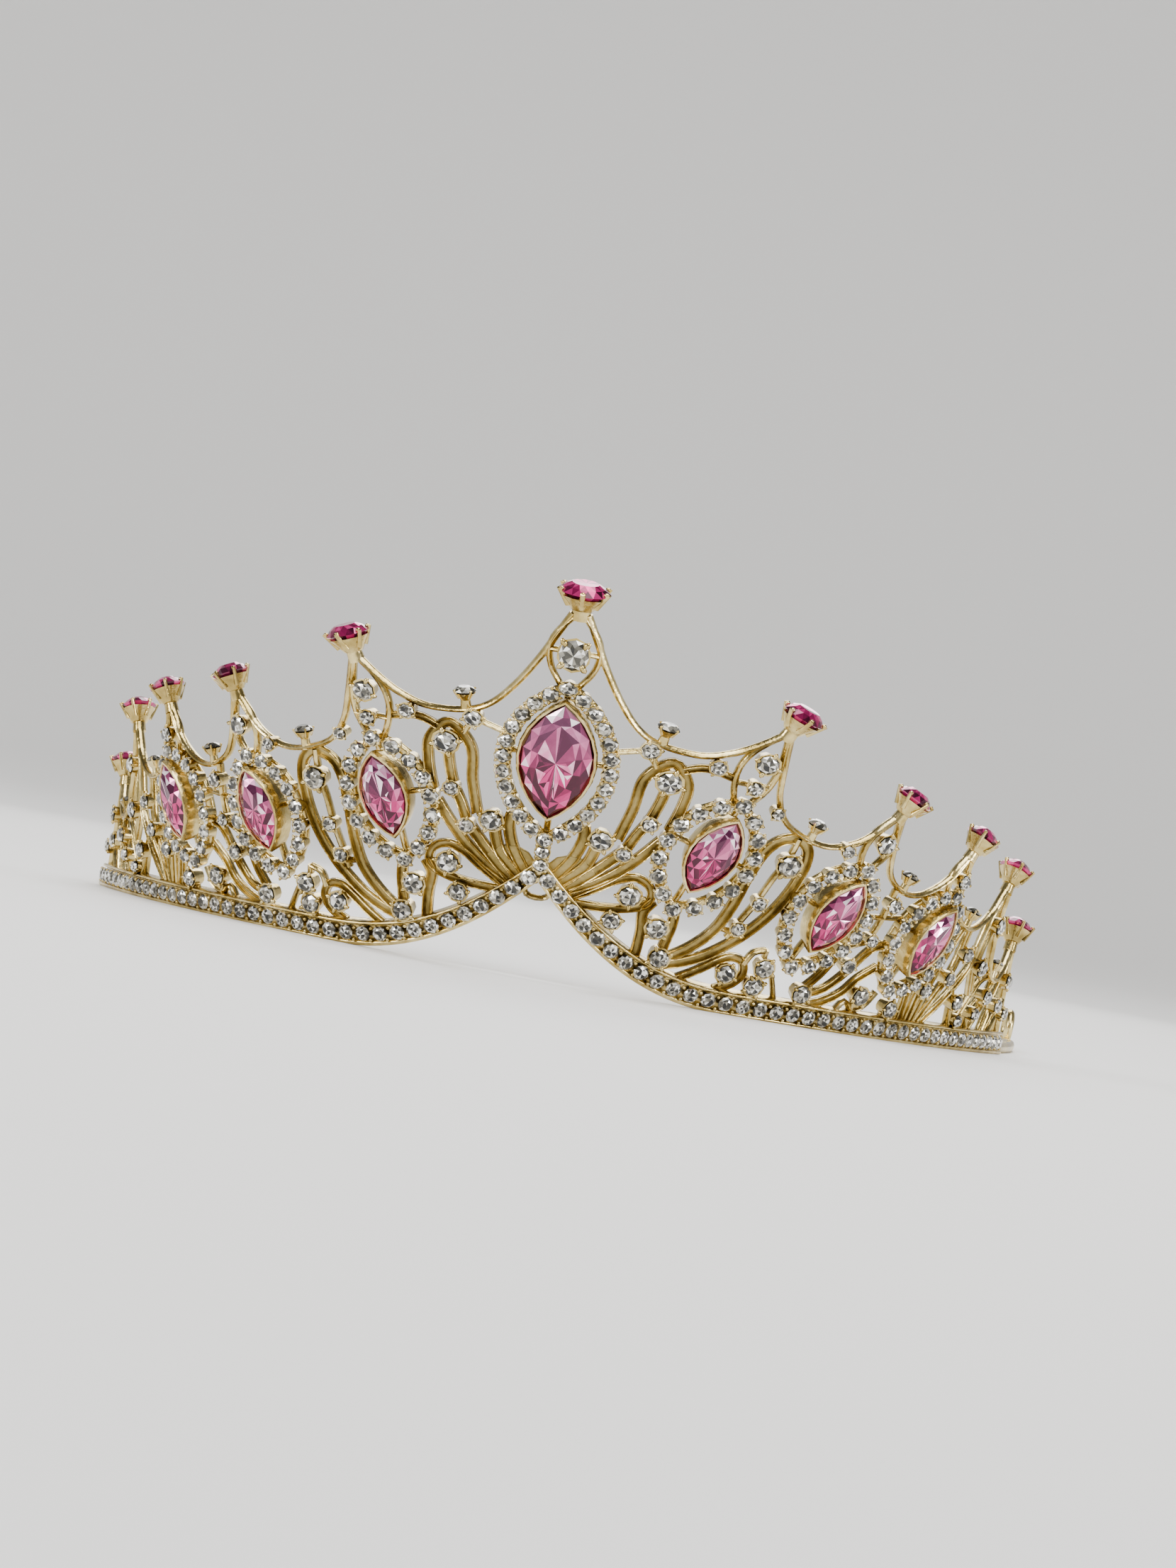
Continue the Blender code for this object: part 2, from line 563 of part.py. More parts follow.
def row_band(drawing, side):
    """Band along the lower edge, and the plain tail that runs on behind it to an eye."""
    places = [0.0] + row_places()[1::ROW_STEP] + [BAND_END]
    for a, b in zip(places, places[1:]):
        drawing.add([(side * a, row_peak(a)), (side * b, row_peak(b)),
                     (side * b, row_peak(b) + ROW_HEIGHT + BAND_ABOVE_ROW),
                     (side * a, row_peak(a) + ROW_HEIGHT + BAND_ABOVE_ROW)], WIRE)
    steps = round((TAIL_END - BAND_END) / 2.7)
    for number in range(steps):
        a = BAND_END - 1.0 + number * 2.7
        b = a + 2.7
        drawing.add([(side * a, 0.0), (side * b, 0.0), (side * b, TAIL_WIDTH), (side * a, TAIL_WIDTH)], WIRE)
    angles = [2 * math.pi * number / 12 for number in range(12)]
    eye = [(side * (b + EYE_RADIUS * (1 + math.cos(t))), TAIL_WIDTH / 2 + EYE_RADIUS * (1 + math.sin(t)))
           for t in angles]
    drawing.add_wire(eye, TAIL_WIDTH * 0.9, WIRE, closed=True)


def set_group(drawing, group):
    """Ring wire, bezel, and the small bars that join them."""
    drawing.add_wire(ring_line(group), 2 * (group["ring_radius"] + STRIP_MARGIN), BAND, closed=True)
    outer = navette(group, group["length"], group["width"], 0, BEZEL_STEPS)
    inner = navette(group, group["length"] - 1.7 * BEZEL_WALL, group["width"] - BEZEL_WALL, 0, BEZEL_STEPS)
    for a in range(len(outer)):
        b = (a + 1) % len(outer)
        drawing.add([outer[a], outer[b], inner[b], inner[a]], BEZEL)
    drawing.add(inner, SEAT)
    low = group["ring_shift"] - group["ring_length"]
    high = group["ring_shift"] + group["ring_length"]
    bars = [((0, low + 0.4), (0, 0.5 - group["length"])), ((0, group["length"] - 0.5), (0, high - 0.3)),
            ((0.3 - group["width"], -0.3), (-group["ring_width"], -0.3)),
            ((group["width"] - 0.3, -0.3), (group["ring_width"], -0.3))]
    for start, end in bars:
        drawing.add_wire([on_axis(group, *start), on_axis(group, *end)], 0.8, WIRE)


def build_casting():
    """The whole cast frame: band, wires, rings, bezels, cups and the small crystals fused to them."""
    drawing = Drawing()
    for side in (1, -1):
        row_band(drawing, side)
        for _, width, knots in WIRES:
            drawing.add_wire([(side * s, h) for s, h in smooth_line(knots)], width, WIRE)
        drawing.add([(side * s, h) for s, h in WEB], WIRE)
        for s, h, radius in CHIPS:
            drawing.add(round_outline(side * s, h, radius), CHIP)
    drawing.add(round_outline(0, 42.4, 1.5), CHIP)
    for group, _ in both_sides(GROUPS):
        set_group(drawing, group)
    for crystal, _ in both_sides(CRYSTALS):
        drawing.add(round_outline(crystal["s"], crystal["h"], crystal["radius"] + CUP_WALL), WIRE)
    standing = [(spot, TIP_RADIUS) for spot, _ in both_sides(SPIKES)]
    standing += [(spot, BUD_RADIUS) for spot, _ in both_sides(BUDS)]
    for spot, radius in standing:
        half = 0.32 * radius
        drawing.add([on_axis(spot, -half, -1.0), on_axis(spot, half, -1.0), on_axis(spot, half, ROOT_LIFT),
                     on_axis(spot, -half, ROOT_LIFT)], WIRE)
    tabs = [tab_outline(*tab) for tab in TABS]
    for outline in tabs:
        drawing.add(outline, WIRE)
    bm, patches = drawing.sheet()
    close_back(bm, PLATE_BACK, tabs)
    for raised, height in ((BAND, STRIP_FRONT), (BEZEL, BEZEL_FRONT)):
        raise_faces(bm, [f for (kind, _), faces in patches.items() if kind == raised for f in faces], height)
    for (kind, _), faces in patches.items():
        if kind == CHIP:
            cut_crown(bm, merge_patch(bm, faces), CROWN_RISE + CUP_FRONT)
    for height in (0, STRIP_FRONT):
        join_flat(bm, [f for f in bm.faces if all(abs(v.co.z - height) < 1e-5 for v in f.verts)])
    for spot, radius in standing:
        grow_cup(bm, spot, radius)
    finish(bm, "cast_frame", **GOLD)


def build_stone_strip(name, lines, stones):
    """A strip of small set stones, fused to their setting, in front of the casting."""
    drawing = Drawing()
    for line, width, closed in lines:
        drawing.add_wire(line, width, WIRE, closed)
    for s, h, radius in stones:
        drawing.add(round_outline(s, h, radius), CHIP)
    bm, patches = drawing.sheet()
    bmesh.ops.translate(bm, vec=(0, 0, STRIP_FRONT), verts=bm.verts[:])
    close_back(bm, GAP)
    for (kind, _), faces in patches.items():
        if kind == CHIP:
            cut_crown(bm, merge_patch(bm, faces), CROWN_RISE)
    join_flat(bm, [f for f in bm.faces if all(abs(v.co.z - STRIP_FRONT) < 1e-5 for v in f.verts)])
    finish(bm, name, **CRYSTAL)


def build_stone(name, outline, heights, colour):
    """A cut stone from rings of one outline: rows of share of the outline and height."""
    bm = bmesh.new()
    loft(bm, [outline(share, height) for share, height in heights])
    bmesh.ops.recalc_face_normals(bm, faces=bm.faces[:])
    finish(bm, name, **colour)


def scaled_about(points, centre, share, z):
    return [(centre[0] + (s - centre[0]) * share, centre[1] + (h - centre[1]) * share, z) for s, h in points]


def build_all():
    for old in list(bpy.data.objects):
        bpy.data.objects.remove(old, do_unlink=True)
    build_casting()
    row = [(s, ROW_HEIGHT + row_peak(s), ROW_STONE_RADIUS) for s in row_places()]
    whole = [(-s, h, r) for s, h, r in reversed(row)] + row
    width = 2 * (ROW_STONE_RADIUS + STRIP_MARGIN)
    line = [(s, h) for s, h, _ in row[1::ROW_STEP]] + [(BAND_END - 1.0, ROW_HEIGHT)]
    middle = (0.0, ROW_HEIGHT + PEAK_RISE)
    ends = [(-s, h) for s, h in reversed(line)] + [middle] + line
    width = 2 * (ROW_STONE_RADIUS + STRIP_MARGIN)
    build_stone_strip("base_stones", [(ends, width, False)], whole)
    for group, ending in both_sides(GROUPS):
        girdle = navette(group, group["length"] - 1.7 * BEZEL_WALL - GAP, group["width"] - BEZEL_WALL - GAP,
                         0, BEZEL_STEPS)
        build_stone("navette_" + ending,
                    lambda share, z: scaled_about(girdle, (group["s"], group["h"]), share, z),
                    [(0.3, 0.35), (1.0, 1.7), (0.84, 2.5), (0.52, 2.9)], PINK)
    angles = [2 * math.pi * (number + 0.5) / STONE_SIDES for number in range(STONE_SIDES)]
    for spots, label, radius, colour in ((SPIKES, "tip_stone_", TIP_RADIUS, PINK),
                                         (BUDS, "bud_stone_", BUD_RADIUS, CRYSTAL)):
        for spot, ending in both_sides(spots):
            build_stone(label + ending,
                        lambda share, lift: ring_on_axis(spot, share * radius, lift * radius, angles),
                        [(0.08, 0.38), (1.0, 0.95), (0.56, 1.34)], colour)
    for crystal, ending in both_sides(CRYSTALS):
        girdle = round_outline(crystal["s"], crystal["h"], crystal["radius"])
        build_stone("crystal_" + ending,
                    lambda share, z: scaled_about(girdle, (crystal["s"], crystal["h"]), share, z),
                    [(0.3, 0.3), (1.0, 1.2), (TABLE_SHARE, 1.75)], CRYSTAL)
    settle()


def settle():
    """Puts the middle of the whole thing's footprint on the origin."""
    corners = [v.co for piece in bpy.data.objects for v in piece.data.vertices]
    middle = (min(c.y for c in corners) + max(c.y for c in corners)) / 2
    for piece in bpy.data.objects:
        for vert in piece.data.vertices:
            vert.co.y -= middle


build_all()
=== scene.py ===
import math
import random

import bmesh
import bpy
import numpy as np
from mathutils import Matrix, Vector


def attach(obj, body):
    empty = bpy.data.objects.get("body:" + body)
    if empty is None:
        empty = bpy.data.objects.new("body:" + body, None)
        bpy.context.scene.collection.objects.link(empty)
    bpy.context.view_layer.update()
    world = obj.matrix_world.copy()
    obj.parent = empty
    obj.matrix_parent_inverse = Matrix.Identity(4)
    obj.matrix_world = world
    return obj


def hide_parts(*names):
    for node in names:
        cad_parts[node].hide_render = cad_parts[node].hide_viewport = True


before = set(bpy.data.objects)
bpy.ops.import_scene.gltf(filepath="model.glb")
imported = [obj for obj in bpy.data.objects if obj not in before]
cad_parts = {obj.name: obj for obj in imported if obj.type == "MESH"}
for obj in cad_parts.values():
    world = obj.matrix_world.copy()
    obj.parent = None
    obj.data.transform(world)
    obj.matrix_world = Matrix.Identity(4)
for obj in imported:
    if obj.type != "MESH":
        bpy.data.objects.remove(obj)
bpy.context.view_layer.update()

# The base band of the tiara and its plain tails. It is one casting in a zinc alloy, plated pale
# champagne gold and polished: a strip about two millimetres deep that stands on its lower edge,
# bent to the head. The openwork of the front rises from it.
FRONT_RADIUS = 61.0
OPENING_OUT = 2.2e-7
BAND_END = 84.5
TAIL_RADIUS = 95.0
TAIL_END = 117.0
LEAN_FRONT = math.radians(23.0)
LEAN_FALL = 5.2e-5
SETBACK = 31.6817
PEAK_RISE = 13.2
PEAK_HALF_WIDTH = 27.0
PEAK_POWER = 2.5
BAND = (-BAND_END, BAND_END)
BAND_BACK = -1.3
CHANNEL_WALL = dict(low=0.0, high=2.75, front=0.05, edge=0.18)
LOWER_LIP = dict(low=0.0, high=0.62, front=0.80, edge=0.2)
UPPER_LIP = dict(low=2.62, high=3.05, front=0.55, edge=0.15)
TAIL = dict(low=0.0, high=1.5, front=-0.05, edge=0.55)
TAIL_OVERLAP = 1.5
TAIL_SPARE = 0.5
RAIL_STEP = 0.9
EYE_RADIUS = 2.1
EYE_WIRE = 0.64
EYE_STEPS = 28
EYE_PLACE = (TAIL_END + 2.4, 2.95, -0.65)
TABS = ((0.0, 12.9, 1.3), (36.0, 0.5, 1.9), (-36.0, 0.5, 1.9))
TAB_HEIGHT = 1.9
TAB_DEPTH = 1.1
TAB_MIDDLE = -1.65
TAB_EDGE = 0.25
KNOB = (3.6, 1.8, 1.5)
KNOB_PLACE = (82.3, 1.15, -1.85)
KNOB_SLOPE = 0.35
KNOB_WALL = 0.3
KNOB_HOLLOW = 1.1
KNOB_DRAFT = 0.05
KNOB_EDGE = 0.16
KNOB_SHORTEST = 1.2
CORNER = 0.5
CLOUD_SCALE = 260.0
CLOUD_SHARE = 0.75
GRAIN_SCALE = 1500.0
DENT_DEPTH = 0.0002
SHARP_ANGLE = math.radians(50)
RUN_STEP = 0.25
RUN_SPARE = 12.0
FOOT = 0.001
MILLIMETRE = 0.001

run = np.arange(0.0, TAIL_END + RUN_SPARE, RUN_STEP)
along = np.minimum(run, BAND_END)
turning = along / FRONT_RADIUS - OPENING_OUT * along ** 3 + (run - along) / TAIL_RADIUS
halfway = (turning[1:] + turning[:-1]) / 2
plan_x = np.concatenate([[0.0], np.cumsum(RUN_STEP * np.cos(halfway))])
plan_y = np.concatenate([[0.0], np.cumsum(RUN_STEP * np.sin(halfway))])


def bent(mesh):
    """Bends a piece round the head and leans it out.

    Every piece is laid out flat first, in millimetres: s along the band from its middle, h up from
    the floor and z outwards. What stands on the floor keeps its feet on it.
    """
    spots = np.empty(len(mesh.vertices) * 3)
    mesh.vertices.foreach_get("co", spots)
    s, h, z = spots.reshape(-1, 3).T
    far = np.abs(s)
    turn = np.interp(far, run, turning)
    lean = np.maximum(0.0, LEAN_FRONT - LEAN_FALL * np.minimum(far, BAND_END) ** 2)
    out = h * np.sin(lean) + z * np.cos(lean)
    up = np.maximum(0.0, h * np.cos(lean) - z * np.sin(lean))
    up = np.where(h < FOOT, 0.0, up)
    x = np.sign(s) * (np.interp(far, run, plan_x) + out * np.sin(turn))
    y = np.interp(far, run, plan_y) - out * np.cos(turn) - SETBACK
    mesh.vertices.foreach_set("co", (np.stack([x, y, up], axis=1) * MILLIMETRE).ravel())
    mesh.update()


class Value:
    """A shader value that ordinary sums can be written with."""

    def __init__(self, finish, socket):
        self.finish = finish
        self.socket = socket

    def reckon(self, operation, first, second):
        return self.finish.node("ShaderNodeMath", {"operation": operation}, {0: first, 1: second})

    def __add__(self, other):
        return self.reckon("ADD", self, other)

    def __sub__(self, other):
        return self.reckon("SUBTRACT", self, other)

    def __rsub__(self, other):
        return self.reckon("SUBTRACT", other, self)

    def __mul__(self, other):
        return self.reckon("MULTIPLY", self, other)

    __radd__ = __add__
    __rmul__ = __mul__


class Finish:
    """A material on the principled shader, wired node by node."""

    def __init__(self, name, **fixed):
        self.material = bpy.data.materials.new(name)
        self.material.use_nodes = True
        self.tree = self.material.node_tree
        self.shader = self.tree.nodes["Principled BSDF"]
        for key, value in fixed.items():
            self.give(key.replace("_", " "), value)

    def feed(self, socket, value):
        """Links a value to a socket, or sets the socket where the value is a plain number."""
        if isinstance(value, Value):
            self.tree.links.new(value.socket, socket)
        else:
            socket.default_value = value

    def node(self, kind, settings, inputs, result=0):
        """Adds a node with its settings, feeds its sockets and gives one of its results."""
        made = self.tree.nodes.new(kind)
        for key, value in settings.items():
            if key == "stops":
                ramp = made.color_ramp
                while len(ramp.elements) < len(value):
                    ramp.elements.new(1.0)
                for element, (place, colour) in zip(ramp.elements, value):
                    element.position = place
                    element.color = (*colour, 1.0)
            else:
                setattr(made, key, value)
        for key, value in inputs.items():
            self.feed(made.inputs[key], value)
        return Value(self, made.outputs[result])

    def give(self, socket, value):
        """Feeds a socket of the shader itself."""
        self.feed(self.shader.inputs[socket], value)


def plated(name, stops, roughest, polish, dents):
    """Plated metal: cloudy in tone, a little pitted, with roughness that wanders."""
    finish = Finish(name, Metallic=1.0, IOR=1.5)
    place = finish.node("ShaderNodeTexCoord", {}, {}, "Object")
    cloud = finish.node("ShaderNodeTexNoise", {}, {"Vector": place, "Scale": CLOUD_SCALE, "Detail": 3.0})
    grain = finish.node("ShaderNodeTexNoise", {}, {"Vector": place, "Scale": GRAIN_SCALE, "Detail": 4.0})
    shade = cloud * CLOUD_SHARE + grain * (1 - CLOUD_SHARE)
    finish.give("Base Color", finish.node("ShaderNodeValToRGB", {"stops": stops}, {0: shade}))
    finish.give("Roughness", cloud * (roughest - polish) + polish)
    finish.give("Normal", finish.node("ShaderNodeBump", {}, {
        "Strength": dents, "Distance": DENT_DEPTH, "Height": grain}))
    return finish


gold = plated("champagne_gold", [
    (0.30, (0.25, 0.175, 0.05)), (0.47, (0.49, 0.365, 0.125)), (0.66, (0.80, 0.66, 0.33)),
], roughest=0.28, polish=0.12, dents=0.30)


def laid(name, bm, finish, smooth, node):
    """Bends a piece laid out flat, gives it its finish and lets it stand for its solid."""
    mesh = bpy.data.meshes.new(name)
    bm.to_mesh(mesh)
    bm.free()
    bent(mesh)
    mesh.materials.append(finish.material)
    if smooth:
        mesh.shade_smooth()
        mesh.set_sharp_from_angle(angle=SHARP_ANGLE)
    piece = bpy.data.objects.new(name, mesh)
    bpy.context.scene.collection.objects.link(piece)
    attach(piece, "root")
    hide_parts(node)


def take(bm, other):
    """Adds one loose bmesh to another."""
    spare = bpy.data.meshes.new("spare")
    other.to_mesh(spare)
    other.free()
    bm.from_mesh(spare)
    bpy.data.meshes.remove(spare)


def peak(s):
    """How much higher the row of stones runs at s than at the sides."""
    return PEAK_RISE * max(0.0, 1.0 - abs(s) / PEAK_HALF_WIDTH) ** PEAK_POWER


def lengthwise(bar):
    """The long edges of a bar."""
    return [e for e in bar.edges if abs(e.verts[0].co.x - e.verts[1].co.x) > 1]


def rail(bm, ends, low, high, front, edge):
    """A long bar of the band: a box cut crosswise, lifted to the peak, with rounded edges."""
    bar = bmesh.new()
    bmesh.ops.create_cube(bar, size=1.0)
    bmesh.ops.scale(bar, vec=(ends[1] - ends[0], high - low, front - BAND_BACK), verts=bar.verts)
    bmesh.ops.translate(bar, vec=((ends[0] + ends[1]) / 2, (low + high) / 2, (BAND_BACK + front) / 2),
                        verts=bar.verts)
    bmesh.ops.bevel(bar, geom=lengthwise(bar), offset=edge, segments=2, profile=0.5, affect="EDGES",
                    material=-1)
    bmesh.ops.subdivide_edges(bar, edges=lengthwise(bar), cuts=int((ends[1] - ends[0]) / RAIL_STEP))
    for vert in bar.verts:
        vert.co.y += peak(vert.co.x)
    take(bm, bar)


band = bmesh.new()
for bar in (CHANNEL_WALL, LOWER_LIP, UPPER_LIP):
    rail(band, BAND, **bar)
# Each tail is a plain strip that ends in a small eye.
for side in (-1, 1):
    rail(band, sorted((side * (BAND_END - TAIL_OVERLAP), side * (TAIL_END + TAIL_SPARE))), **TAIL)
    eye = bmesh.new()
    bmesh.ops.create_circle(eye, segments=12, radius=EYE_WIRE)
    bmesh.ops.rotate(eye, cent=(0, 0, 0), matrix=Matrix.Rotation(math.pi / 2, 3, "X"), verts=eye.verts)
    bmesh.ops.translate(eye, vec=(EYE_RADIUS, 0, 0), verts=eye.verts)
    bmesh.ops.spin(eye, geom=eye.verts[:] + eye.edges[:], cent=(0, 0, 0), axis=(0, 0, 1),
                   angle=2 * math.pi, steps=EYE_STEPS, use_merge=True)
    bmesh.ops.recalc_face_normals(eye, faces=eye.faces)
    bmesh.ops.translate(eye, vec=(side * EYE_PLACE[0], *EYE_PLACE[1:]), verts=eye.verts)
    take(band, eye)
# Small tabs behind the band, one under the peak and one on each side.
for s, h, half_width in TABS:
    tab = bmesh.new()
    bmesh.ops.create_cube(tab, size=1.0)
    bmesh.ops.scale(tab, vec=(2 * half_width, TAB_HEIGHT, TAB_DEPTH), verts=tab.verts)
    bmesh.ops.bevel(tab, geom=tab.edges[:], offset=TAB_EDGE, segments=2, profile=0.5, affect="EDGES",
                    material=-1)
    bmesh.ops.translate(tab, vec=(s, h + TAB_HEIGHT / 2, TAB_MIDDLE), verts=tab.verts)
    take(band, tab)
# A small hollow wedge behind each end of the band.
for side in (-1, 1):
    knob = bmesh.new()
    bmesh.ops.create_cube(knob, size=1.0)
    bmesh.ops.scale(knob, vec=KNOB, verts=knob.verts)
    for vert in knob.verts:
        if vert.co.x * side > 0 and vert.co.z < 0:
            vert.co.z = KNOB[2] * KNOB_SLOPE
    mouth = [f for f in knob.faces if f.normal.x * side < -0.9]
    bmesh.ops.inset_individual(knob, faces=mouth, thickness=KNOB_WALL, depth=0.0)
    bmesh.ops.inset_individual(knob, faces=mouth, thickness=KNOB_DRAFT, depth=-KNOB_HOLLOW)
    rounded = [e for e in knob.edges
               if e.calc_face_angle(0.0) > CORNER and e.calc_length() > KNOB_SHORTEST]
    bmesh.ops.bevel(knob, geom=rounded, offset=KNOB_EDGE, segments=2, profile=0.5, affect="EDGES",
                    material=-1)
    bmesh.ops.translate(knob, vec=(side * KNOB_PLACE[0], *KNOB_PLACE[1:]), verts=knob.verts)
    take(band, knob)
laid("base_band", band, gold, True, "cast_frame")

